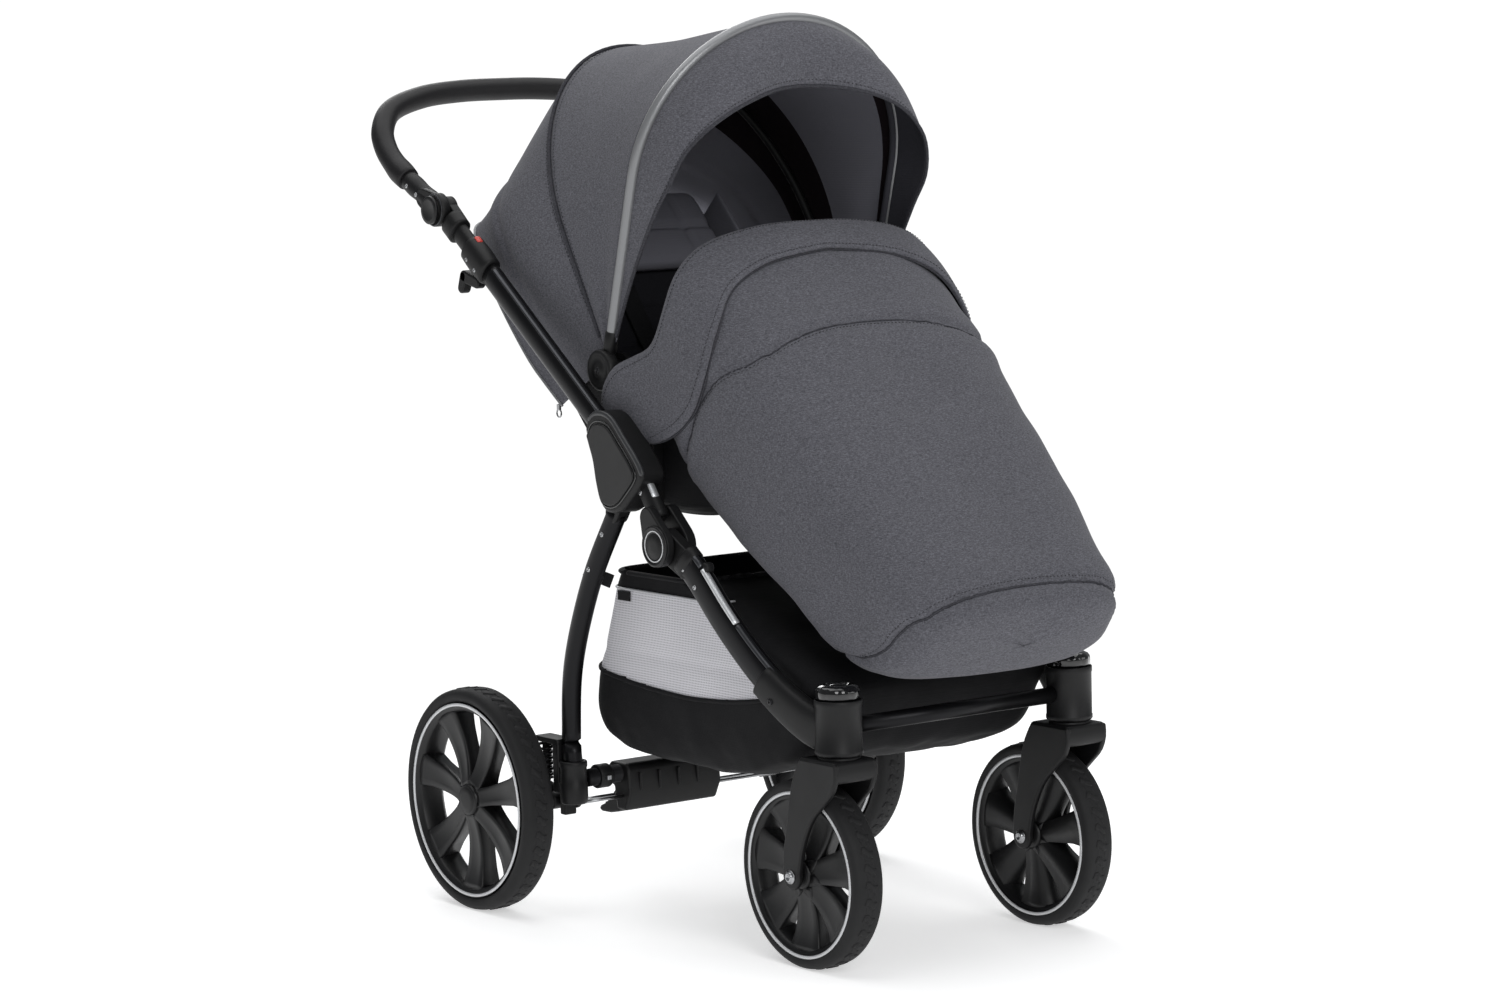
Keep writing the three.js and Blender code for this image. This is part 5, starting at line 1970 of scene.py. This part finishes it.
@dataclass
class FootCover:
    """The padded foot cover: a deep shell with a yoke seam, a gusset at its foot and a turned-back lapel."""

    stations: tuple[Point, ...] = (
        (-274, 664, 906, 206, 0.46), (-190, 650, 908, 207, 0.3), (-90, 636, 900, 206, 0.1),
        (20, 642, 884, 203, 0),
        (130, 655, 868, 196, 0), (220, 660, 858, 185, 0), (290, 684, 848, 168, 0), (326, 718, 840, 142, 0),
    )
    yoke: tuple[Point, ...] = (
        (0, -104), (13, -99), (41, -89), (59, -94), (91, -134), (120, -150), (180, -150)
    )
    gusset: tuple[Point, ...] = (
        (0, 305), (15, 309), (40, 311), (65, 312), (90, 298), (103, 284), (115, 268), (122, 236), (180, 228)
    )
    lapel: tuple[Point, ...] = (
        (0, 908, -276, -226), (-60, 907, -275, -217), (-110, 902, -272, -207), (-161, 886, -266, -184),
        (-190, 860, -252, -150),
        (-203, 820, -232, -122), (-208, 773, -226, -110), (-210, 735, -246, -114), (-212, 705, -262, -126),
        (-213, 680, -266, -144),
        (-213, 656, -260, -172), (-212, 636, -242, -208),
    )
    inside: tuple[float, float, float] = (0.0, -440.0, 620.0)
    columns: int = 144

    def __post_init__(self) -> None:
        """Smooths the stations once."""
        self.table = smooth_path(self.stations, 120)

    @staticmethod
    def row_of(x: float, a: float, n: float) -> tuple[float, float, float]:
        """A point from the cover's own frame: x across, a down its slope, n off it."""
        return (x, -SLOPE_COS * a - SLOPE_SIN * n, -SLOPE_SIN * a + SLOPE_COS * n)

    def at(self, a: float, turn: float, grow: float = 0.0) -> tuple[float, float, float]:
        """A point on the shell.

        Args:
            a: how far down the slope.
            turn: the angle round it; 90 degrees is the top.
            grow: how much bigger the ring is, in millimetres.

        Returns:
            The point in the side-view frame.
        """
        low, high, half, tilt = (np.interp(a, self.table[:, 0], self.table[:, k]) for k in (1, 2, 3, 4))
        c, s = math.cos(turn), math.sin(turn)
        power = 0.62 if s > 0 else 0.5
        x = (half + grow) * math.copysign(abs(c) ** power, c)
        n = (low + high) / 2 + ((high - low) / 2 + grow) * math.copysign(abs(s) ** power, s)
        return self.row_of(x, a + tilt * (high - n), n)

    def build(self) -> None:
        """Builds the shell, its seams and the lapel."""
        self.shell()
        self.seams()
        self.band()

    def relief(self, a: float, turn: float, p: np.ndarray) -> float:
        """How far the filled cloth stands out: grooves at the seams, puckers beside them and soft lumps between."""
        phi = abs((math.degrees(turn) - 90 + 180) % 360 - 180)
        made = 0.0
        for seam, width in ((self.yoke, 7.0), (self.gusset, 6.0)):
            gap = a - float(np.interp(phi, [s[0] for s in seam], [s[1] for s in seam]))
            made -= 4.2 * math.exp(-((gap / width) ** 2))
            made += 2.6 * math.exp(-(((abs(gap) - 26) / 20) ** 2))
            pucker = wander((math.degrees(turn) * 3.0, gap * 0.25, 0), 9, 4) * math.exp(-((gap / 24) ** 2))
            made += 1.7 * pucker
        broad = 4.6 * wander(p, 120, 5) + 2.0 * wander((p[0] * 0.5, p[1], p[2]), 46, 6)
        return made + broad * min(1.0, max(0.0, (a + 274) / 60))

    def shell(self) -> None:
        """The shell, open above the seat, with a rounded foot."""
        turns = np.arange(self.columns) * 2 * math.pi / self.columns
        stations = [*np.linspace(-274, 318, 112), 326.0]
        grid = np.array([[self.at(a, t) for t in turns] for a in stations])
        centre = np.array(self.row_of(0, 332, 779))
        last = grid[-1]
        dome = []
        for k in np.linspace(0.1, 1.0, 9):
            inward, out = k, math.sqrt(max(0.0, 1 - (1 - k) ** 2))
            flat = last + (centre - last) * inward * 0.999
            bulge = np.array(self.row_of(0, 12 * out, 0))
            dome.append(flat + bulge)
        grid = np.vstack([grid, np.array(dome)])
        rows_a = [*stations, *[326 + 10 * k for k in np.linspace(0.1, 1, 9)]]
        ringed = np.concatenate([grid[:, -1:], grid, grid[:, :1]], axis=1)
        ringed = lift(
            ringed, lambda r, c, p: self.relief(rows_a[r], turns[(c - 1) % self.columns], p), self.inside
        )
        grid = ringed[:, 1:-1]

        def keep(r: int, c: int) -> bool:
            """Leaves the shell open over the seat."""
            p = grid[r, c]
            n = -SLOPE_SIN * p[1] + SLOPE_COS * p[2]
            return not (rows_a[r] < 20 and n < 752 and abs(p[0]) < 182)

        made, _ = cloth_grid("foot_cover_shell", grid, ring=True, keep=keep)
        made = thicken(dress(facing_out(made, self.inside), CLOTH, LINING), 9.0, second=1)
        self.bend(made)
        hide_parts("foot_cover")

    def bend(self, obj: bpy.types.Object) -> bpy.types.Object:
        """Bakes a piece's transform into its mesh and logs it."""
        ends = Datum.row([self.row_of(0, -60, 750), self.row_of(0, 80, 750)])
        LOG.info("%s bends from seat to calf_rest, %d faces", obj.name, len(obj.data.polygons))
        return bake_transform(obj)

    def trace(
        self, seam: Sequence[Point], shift: float, most: float, rise: float
    ) -> tuple[np.ndarray, np.ndarray]:
        """A line along a seam on the shell, and the outward direction at each point.

        Args:
            seam: (degrees from the top, distance down the slope) pairs.
            shift: how far down the slope from the seam.
            most: degrees from the top where it ends on each side.
            rise: how far off the shell.

        Returns:
            Points and directions.
        """
        path, out = [], []
        for phi in np.linspace(-most, most, 150):
            a = float(np.interp(abs(phi), [s[0] for s in seam], [s[1] for s in seam])) + shift
            turn = math.radians(90 + phi)
            here = np.array(self.at(a, turn))
            direction = np.array(self.at(a, turn, 5.0)) - here
            direction /= np.linalg.norm(direction)
            path.append(here + direction * (self.relief(a, turn, here) + rise))
            out.append(direction)
        return np.array(path), np.array(out)

    def seams(self) -> None:
        """Top stitching beside both seams and a cord in the gusset's seam."""
        for name, seam, shift, most in (
            ("yoke_stitch", self.yoke, 6.5, 108.0), ("gusset_stitch", self.gusset, -6.5, 112.0),
        ):
            path, out = self.trace(seam, shift, most, 0.1)
            self.bend(stitch_line(name, path, out, None, THREAD, 5.5))
        for name, seam, most, radius in (
            ("gusset_cord", self.gusset, 118.0, 1.7), ("yoke_cord", self.yoke, 112.0, 1.2)
        ):
            path, _ = self.trace(seam, 0.0, most, 0.4)
            self.bend(dress(sweep(name, path, (radius, radius), 8), EDGE))

    def band(self) -> None:
        """The lapel: the mouth's edge turned back over the shell, with a wing low on each side."""
        half = smooth_path([(abs(x), n, b, f) for x, n, b, f in self.lapel], 46)
        strips = []
        for x, n, back, front in half:
            strip = []
            for v in np.linspace(0, 1, 12):
                goal = back + (front - back) * v
                a = goal
                for _ in range(16):
                    low, high, wide, tilt = (
                        np.interp(a, self.table[:, 0], self.table[:, k]) for k in (1, 2, 3, 4)
                    )
                    a = goal - tilt * (high - n)
                mid, hh = (low + high) / 2, (high - low) / 2
                s = (n - mid) / hh
                power = 0.62 if s > 0 else 0.5
                turn = math.atan2(
                    math.copysign(min(1.0, abs(s)) ** (1 / power), s), min(1.0, x / wide) ** (1 / power)
                )
                base = np.array(self.at(a, turn))
                out = np.array(self.at(a, turn, 6.0)) - base
                loose = min(1.0, max(0.0, (770 - n) / 60))
                base += (np.array(self.row_of(x, goal, n)) - base) * loose
                out = out / max(1e-6, np.linalg.norm(out)) * (1 - loose) + np.array([loose, 0, 0])
                rise = 4.5 + 5.0 * math.sin(
                    math.pi * min(1.0, v * 0.9 + 0.1)
                ) ** 0.7 + 1.4 * wander(base, 60, 8)
                strip.append(base + out * rise)
            strips.append(strip)
        one = np.array(strips)
        whole = np.concatenate([one[::-1], (one * (-1, 1, 1))[1:]])
        made, _ = cloth_grid("lapel", whole)
        made = thicken(
            dress(facing_out(made, self.inside), CLOTH, LINING), 5.0, subdivide=1, second=1, offset=0.0
        )
        settle(made, "seat")
        out = normals_of(whole)
        out *= np.sign(np.sum(out * (whole - np.array(self.inside)), axis=2, keepdims=True))
        for name, column in (("lapel_stitch_front", 10), ("lapel_stitch_back", 1)):
            line = whole[3:-3, column] + out[3:-3, column] * 2.6
            stitch_line(name, line, out[3:-3, column], "seat", THREAD, 5.0)
        edge = whole[2:-2, -1] - out[2:-2, -1] * 2.5
        settle(dress(sweep("lapel_edge", edge, (1.6, 1.6), 8), EDGE), "seat")
        parts = []
        for _, side in SIDES:
            x, y, z = (side * 222, *self.row_of(0, -206, 684)[1:])
            parts.append(
                dress(block("slider", (x - 2, y - 4, z - 5), (x + 2, y + 4, z + 5), 1.2), BLACK_STEEL)
            )
            parts.append(
                dress(block("puller", (x - 1, y - 2.5, z - 22), (x + 1, y + 2.5, z - 5), 0.8), BLACK_STEEL)
            )
        assemble("cover_zip_pulls", parts, "seat", slot="spring_steel")


@dataclass
class Seat:
    """The lift-off seat: shell, quilted pads, head rest, straps, buckle, footrest and bumper bar."""

    back_hinge: tuple[float, float] = (-160.0, 590.0)
    back_lean: float = math.radians(43.1)
    bumper: tuple[Point, ...] = (
        (192, -273, 676), (191, -278, 698), (183, -306, 720), (165, -345, 733), (115, -384, 742),
        (0, -400, 745),
    )

    def build(self) -> None:
        """Builds everything on the seat except the hood and the foot cover."""
        self.shell()
        self.pads()
        self.hardware()
        self.bar()

    def on_back(self, x: float, up: float, off: float) -> tuple[float, float, float]:
        """A point on the backrest: x across, up it, and off its front face."""
        s, c = math.sin(self.back_lean), math.cos(self.back_lean)
        y, z = self.back_hinge
        return (x, y + up * s - off * c, z + up * c + off * s)

    def shell(self) -> None:
        """The seat's black tray with its side brackets, and the backrest board."""
        outline = smooth_path(
            [
                (-186, 600), (-192, 574), (-214, 553), (-262, 537), (-330, 532), (-400, 536), (-432, 550),
                (-438, 572), (-437, 590)
            ], 40
        )
        inner = [(-425, 592), (-415, 577), (-250, 573), (-205, 577), (-198, 602)]
        parts = [solid("tray", [*outline, *inner], -186, 186, 6)]
        rib = [(-292, 545), (-248, 545), (-251, 580), (-253, 610), (-261, 671), (-285, 671), (-291, 610)]
        for _, side in SIDES:
            parts.append(solid("rib", rib, *sorted((side * 185, side * 204.6)), 4))
            parts.append(
                block(
                    "foot", (min(side * 200, side * 214), -286, 552),
                    (max(side * 200, side * 214), -252, 604), 3
                )
            )
        assemble("seat_tray", parts, "seat", "seat_shell", finish=NYLON)
        dress(bpy.data.objects["backrest"], BLACK_CLOTH)
        side_cloth = [
            (-200, 600), (-205, 566), (-262, 544), (-330, 540), (-405, 545), (-418, 575), (-398, 612),
            (-330, 652), (-250, 668), (-212, 650)
        ]
        walls = [solid("wall", side_cloth, *sorted((side * 181, side * 187.5)), 2.4) for _, side in SIDES]
        for wall in walls:
            dress(wall, BLACK_CLOTH)
        settle(merge("seat_side_cloth", walls), "seat")

    def cushion(
        self, name: str, place: Callable[[float, float, float], Point], half: float, span: Point,
        depth: Point, quilts: Sequence[float], finish: Finish
    ) -> bpy.types.Object:
        """A stuffed pad with a crowned face, rounded edges and quilting across it.

        Args:
            name: its name.
            place: from (across, along, off) to side-view millimetres.
            half: its half width.
            span: where it starts and ends along.
            depth: its back and its face, off the surface it lies on.
            quilts: where the quilting lines are along it.
            finish: its cloth.

        Returns:
            The pad.
        """
        start, end = span
        low, high = depth
        across, along = 44, 60
        rows = []
        for v in np.linspace(0, 1, along):
            row = []
            for sheet in (1, -1):
                for u in np.linspace(-1, 1, across) * sheet:
                    edge = (max(0.0, 1 - abs(u) ** 6) * max(0.0, 1 - abs(2 * v - 1) ** 6)) ** 0.34
                    at = start + (end - start) * v
                    crown = (high - low) / 2 * edge
                    if sheet > 0:
                        near = min((abs(at - q) for q in quilts), default=1e9)
                        middle = abs(u * half)
                        crown *= 1 - 0.5 * math.exp(-((near / 5) ** 2)) - 0.3 * math.exp(
                            -(((middle - half * 0.62) / 4) ** 2)
                        )
                        crown += edge * 1.3 * wander((u * half, at, 0), 42, 9)
                    round_in = 1 - 0.06 * abs(2 * v - 1) ** 8
                    row.append(place(u * half * round_in, at, (low + high) / 2 + sheet * crown))
            rows.append(row)
        grid = np.array(rows)
        made = skin(name, Datum.row(grid.reshape(-1, 3)).reshape(grid.shape), ring=True, caps=True)
        return dress(made, finish)

    def pads(self) -> None:
        """The seat pad, the back pad, the folded head rest and the straps."""
        flat = self.cushion(
            "seat_cushion", lambda x, t, o: (x, -t, o), 172, (208, 428), (578, 606), (262, 318, 374),
            SEAT_CLOTH
        )
        settle(flat, "seat", "seat_pad")
        back = self.cushion(
            "back_cushion", self.on_back, 160, (22, 374), (2.5, 28), (90, 158, 226, 294), SEAT_CLOTH
        )
        settle(back, "back", "back_pad")
        head = self.cushion("head_rest", self.on_back, 132, (268, 392), (29, 56), (330,), GREY_LINING)
        settle(head, "back")
        for tag, side in SIDES:
            wing = self.cushion(
                f"head_wing_{tag}", lambda x, t, o, s=side: self.on_back(
                    s * (134 + (o - 29) * 0.35), t, 30 + abs(x + 26) * 1.1
                ), 26, (268, 356), (24, 40), (), GREY_LINING
            )
            settle(wing, "back")
            line = np.array(
                [
                    self.on_back(side * (44 + 8 * math.sin(t * 3)), 250 - 190 * t, 33 - 2 * t)
                    for t in np.linspace(0, 1, 24)
                ]
            )
            strap = dress(
                sweep(f"shoulder_strap_{tag}", line, (15, 2.6), 20, across=(1, 0, 0), square=0.6), WEBBING
            )
            settle(strap, "back")

    def hardware(self) -> None:
        """The buckle with its button and crotch strap, and the footrest."""
        parts = [
            solid("case", [(-333.6, 611), (-314.4, 611), (-314.4, 655), (-333.6, 655)], -25.6, 25.6, 4)
        ]
        for _, side in SIDES:
            parts.append(
                block(
                    "tongue", (min(side * 25, side * 44), -328, 640),
                    (max(side * 25, side * 44), -320, 652), 2
                )
            )
        assemble("harness_buckle", parts, "seat", "buckle", finish=COVER)
        strap = dress(block("crotch_strap", (-14, -326, 606), (14, -322.5, 612), 1), WEBBING)
        settle(strap, "seat")
        low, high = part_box("buckle_button")
        middle = (low + high) / 2
        centre = (0, (middle.y - Datum.y) / MM, (middle.z - Datum.z) / MM)
        reach = (high.y - low.y) / MM / 2
        face = [(0, -reach), (8.2, -reach), (9.6, -reach + 1.2), (9.6, reach), (0, reach)]
        settle(
            dress(lathe("harness_button", face, centre, Axis.Y, 32), LIP), "buckle_release", "buckle_button"
        )
        s, c = math.sin(math.radians(40)), math.cos(math.radians(40))
        y, z = -448.0, 577.0
        outline = [
            (y - a * c + o * s, z - a * s + o * -c)
            for a, o in ((10, -7), (208, -7), (215, 0), (208, 7), (10, 7))
        ]
        board = solid("calf_board", outline, -139, 139, 4)
        settle(dress(board, SEAT_CLOTH), "calf_rest", "footrest")

    def bar(self) -> None:
        """The bumper bar in leatherette, on its two pegs."""
        half = list(self.bumper)
        line = smooth_path([*half, *[(-x, y, z) for x, y, z in half[-2::-1]]], 90)
        tube = dress(sweep("tube", line[5:-5], (10, 10), 24, round_end=2), GRIP)
        pegs = [
            dress(sweep("peg", end, (8.5, 9.5), 20, across=(1, 0, 0), round_end=1), NYLON)
            for end in (line[:7], line[-7:])
        ]
        assemble("bumper_rail", [tube, *pegs], "bumper", "bumper_bar", slot="leatherette")


@dataclass
class Basket:
    """The basket: black cloth with a net panel on each side, a sloping front lid and piped edges."""

    levels: tuple[Point, ...] = (
        (448, -172, -346, 188), (427, -161, -400, 188), (400, -152, -470, 188), (345, -130, -589, 187),
        (300, -114, -580, 186),
        (250, -108, -544, 180), (216, -128, -440, 162), (203, -160, -345, 136),
    )
    corner: float = 34.0

    def ring(self, level: Point, count: int = 44) -> np.ndarray:
        """The basket's outline at one level: rear, sides and front with round corners."""
        z, rear, front, half = level
        k = self.corner
        marks = [
            (half - k, rear - k, 0), (k - half, rear - k, 90), (k - half, front + k, 180),
            (half - k, front + k, 270)
        ]
        points = []
        for i, (x, y, start) in enumerate(marks):
            arc = [
                (x + k * math.cos(math.radians(start + t)), y + k * math.sin(math.radians(start + t)), z)
                for t in np.linspace(0, 90, 9)
            ]
            points += arc
            nx, ny, turn = marks[(i + 1) % 4]
            after = (nx + k * math.cos(math.radians(turn)), ny + k * math.sin(math.radians(turn)), z)
            gap = np.linspace(0, 1, count + 2)[1:-1]
            points += [tuple(np.array(arc[-1]) + (np.array(after) - np.array(arc[-1])) * g) for g in gap]
        return np.array(points)

    @staticmethod
    def net_foot(y: float) -> float:
        """How low the net hangs at a distance along the side."""
        return 302 + (23 if y > -300 else 38) * ((y + 300) / 150) ** 2

    @staticmethod
    def net_front(z: float) -> float:
        """Where the net's front edge is at a height: it follows the front leg."""
        return -458 + 0.93 * (z - 371)

    def build(self) -> None:
        """Builds the bag, its piping, the labels and the straps."""
        levels = smooth_path(self.levels, 96)
        grid = np.array([self.ring(level) for level in levels])
        inside = (0.0, -330.0, 330.0)

        def height(r: int, c: int, p: np.ndarray) -> float:
            """How far the slack cloth stands out at a point."""
            low = min(1.0, max(0.0, (360 - p[2]) / 110))
            drape = 5.0 * low * wander((p[0], p[1], p[2] * 0.3), 75, 11) + 2.0 * low * wander(p, 30, 12)
            return drape + 1.6 * wander(p, 60, 13) * (1 - low) - 3.0 * math.exp(-(((p[2] - 345) / 8) ** 2)) * 0.5

        closed = np.concatenate([grid[:, -1:], grid, grid[:, :1]], axis=1)
        grid = lift(closed, height, inside)[:, 1:-1]

        level_y = [float(np.interp(400, grid[::-1, c, 2], grid[::-1, c, 1])) for c in range(grid.shape[1])]

        def kind(r: int, c: int) -> int:
            """1 where the face is net, 0 where it is cloth."""
            x, y, z = grid[r, c]
            on_side = abs(x) > (158 if y > -260 else 179)
            return 1 if on_side and self.net_foot(level_y[c]) + 3.5 < z < 427 and y > self.net_front(z) else 0

        bottom = grid[-1]
        centre = bottom.mean(axis=0) - (0, 0, 3)
        floor = [bottom + (centre - bottom) * k for k in (0.12, 0.35, 0.6, 0.85, 0.999)]
        whole = np.vstack([grid, np.array(floor)])
        made, area = cloth_grid(
            "basket_bag", whole, ring=True, kind=lambda r, c: kind(r, c) if r < len(grid) else 0
        )
        made = thicken(dress(facing_out(made, inside), BLACK_CLOTH, NET), 1.8)
        self.fold(made, "basket")
        declare(made, area, 0.8)
        self.trims(grid)

    def fold(self, obj: bpy.types.Object, *nodes: str) -> bpy.types.Object:
        """Makes a piece ride on the chassis, with a mesh of its own."""
        settle(obj, "chassis", *nodes)
        anchor = Datum.row([(0, -172, 440)])[0]
        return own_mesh(obj)

    def trims(self, grid: np.ndarray) -> None:
        """The rim's binding, the cords round the net, silver above and black below, the blank labels and the
        straps.
        """
        rim = grid[0]
        binding = dress(sweep("rim", np.vstack([rim, rim[:1]]), (3.2, 5.0), 10, across=(0, 0, 1)), WEBBING)
        self.fold(merge("basket_rim", [binding]))
        parts = []
        for _, side in SIDES:
            columns = [c for c in range(grid.shape[1]) if side * grid[20, c, 0] > 158]
            columns.sort(key=lambda c: -grid[20, c, 1])
            for height, radius, finish in (
                (lambda y: 427.0, 1.7, BRIGHT_CORD), (self.net_foot, 2.8, BLACK_CLOTH)
            ):
                line = []
                for c in columns:
                    column = grid[:, c][::-1]
                    z = height(float(np.interp(400, column[:, 2], column[:, 1])))
                    here = np.array([np.interp(z, column[:, 2], column[:, k]) for k in range(3)])
                    if here[1] > self.net_front(z):
                        line.append(here + (side * 1.2, 0, 0))
                parts.append(dress(sweep("cord", smooth_path(line, 60), (radius, radius), 8), finish))
        self.fold(merge("net_piping", parts))
        labels = []
        for _, side in SIDES:
            x0, x1 = sorted((side * 189.2, side * 190.8))
            labels.append(
                dress(
                    solid("label", [(-188, 424), (-214, 424), (-214, 412), (-188, 412)], x0, x1, 0.4),
                    WEBBING
                )
            )
        self.fold(merge("blank_labels", labels))
        straps = []
        for _, side in SIDES:
            line = smooth_path(
                [(side * 200, -190, 436), (side * 214, -178, 444), (side * 226, -170, 452)], 10
            )
            straps.append(
                dress(sweep("strap", line, (1.6, 11), 14, across=(1, 0, 0.1), square=0.6), WEBBING)
            )
        self.fold(merge("basket_straps", straps))


# ---- studio ----


@dataclass
class Studio:
    """A white sweep with soft light from above and from the front left, and the camera."""

    eye: tuple[float, float, float] = (-3191.1, -4515.6, 1135.3)
    azimuth: float = math.radians(-36.59)
    elevation: float = math.radians(6.51)
    roll: float = math.radians(-1.42)
    lens: float = 100.66

    def build(self) -> None:
        """Builds the floor, the light and the camera."""
        bpy.context.scene.view_settings.view_transform = "Standard"
        self.world()
        self.floor()
        self.lamp("overhead", (0.2, 0.3, 3.2), (0.0, 0.0, 0.0), 4.0, 74)
        self.lamp("front_left", (-1.4, -4.4, 2.6), (0.0, 0.0, 0.6), 2.4, 80)
        self.lamp("front_right", (2.6, -3.8, 1.6), (0.0, 0.0, 0.5), 1.6, 12)
        self.lamp("behind", (1.2, 3.4, 2.6), (0.0, 0.0, 0.8), 1.8, 34)
        self.camera()

    def world(self) -> None:
        """White to the camera, dimmer as light."""
        made = bpy.data.worlds.new("white_room")
        made.use_nodes = True
        tree = made.node_tree
        tree.nodes.clear()
        seen = add(tree, "ShaderNodeBackground", {"Color": (1.0, 1.0, 1.0, 1.0), "Strength": 1.05})
        light = add(tree, "ShaderNodeBackground", {"Color": (0.93, 0.96, 1.0, 1.0), "Strength": 0.2})
        path = add(tree, "ShaderNodeLightPath")
        both = add(
            tree, "ShaderNodeMixShader",
            {0: path.outputs["Is Camera Ray"], 1: light.outputs[0], 2: seen.outputs[0]}
        )
        add(tree, "ShaderNodeOutputWorld", {"Surface": both.outputs[0]})
        bpy.context.scene.world = made

    def floor(self) -> None:
        """A floor that takes soft shadows near the wheels and is plain white further out."""
        size = 30.0
        made = from_faces(
            "studio_floor",
            np.array([(-size, -size, 0), (size, -size, 0), (size, size, 0), (-size, size, 0)]),
            [(0, 1, 2, 3)]
        )
        material = bpy.data.materials.new("white_floor")
        material.use_nodes = True
        tree = material.node_tree
        tree.nodes.clear()
        place = add(tree, "ShaderNodeTexCoord").outputs["Object"]
        reach = add(tree, "ShaderNodeVectorMath", {0: place}, operation="LENGTH").outputs["Value"]
        fade = add(
            tree, "ShaderNodeMapRange", {"Value": reach, "From Min": 0.8, "From Max": 2.2},
            interpolation_type="SMOOTHSTEP"
        )
        paint = add(tree, "ShaderNodeBsdfDiffuse", {"Color": (0.9, 0.9, 0.9, 1.0)})
        glow = add(tree, "ShaderNodeEmission", {"Strength": 1.05})
        lift = add(tree, "ShaderNodeEmission", {"Strength": 0.5})
        near = add(tree, "ShaderNodeAddShader", {0: paint.outputs[0], 1: lift.outputs[0]})
        both = add(
            tree, "ShaderNodeMixShader", {0: fade.outputs["Result"], 1: near.outputs[0], 2: glow.outputs[0]}
        )
        add(tree, "ShaderNodeOutputMaterial", {"Surface": both.outputs[0]})
        made.data.materials.append(material)

    def lamp(self, name: str, place: Point, aim: Point, size: float, power: float) -> None:
        """One square area light.

        Args:
            name: its name.
            place: where it is, in metres.
            aim: what it faces.
            size: its side in metres.
            power: in watts.
        """
        data = bpy.data.lights.new(name, "AREA")
        data.size, data.energy = size, power
        made = bpy.data.objects.new(name, data)
        made.matrix_world = Matrix.Translation(place) @ toward(Vector(place) - Vector(aim)).to_4x4()
        bpy.context.scene.collection.objects.link(made)

    def camera(self) -> None:
        """The camera, three-quarter front, a little above the basket."""
        a, e, roll = self.azimuth, self.elevation, self.roll
        back = Vector((math.sin(a) * math.cos(e), -math.cos(a) * math.cos(e), math.sin(e)))
        right = Vector((math.cos(a), math.sin(a), 0.0))
        up = back.cross(right)
        level, tip = math.cos(roll), math.sin(roll)
        turned = right * level + up * tip, up * level - right * tip, back
        data = bpy.data.cameras.new("main_camera")
        data.lens, data.sensor_width = self.lens, 36.0
        made = bpy.data.objects.new("main_camera", data)
        frame = Matrix(turned).transposed().to_4x4()
        frame.translation = Datum.row([self.eye])[0]
        made.matrix_world = frame
        bpy.context.scene.collection.objects.link(made)
        bpy.context.scene.camera = made


def main() -> None:
    """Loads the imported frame, builds every sub-assembly over it and sets up the studio."""
    logging.basicConfig(level=logging.INFO, format="%(name)s: %(message)s")
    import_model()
    Datum.read()
    rear = Wheel("rear", 145.0, 23.0, 21.0, 124.0, wide=1.12)
    front = Wheel("front", 116.0, 22.0, 18.0, 99.6, dish=7.0, wide=1.45)
    for tag, side in SIDES:
        rear.build(tag, side)
        front.build(tag, side)
        Caster().build(tag, side)
        SideFrame().build(tag, side)
    RearAxle().build()
    Handle().build()
    for assembly in (Seat, Hood, FootCover, Basket):
        assembly().build()
    Studio().build()


if __name__ == "__main__":
    main()
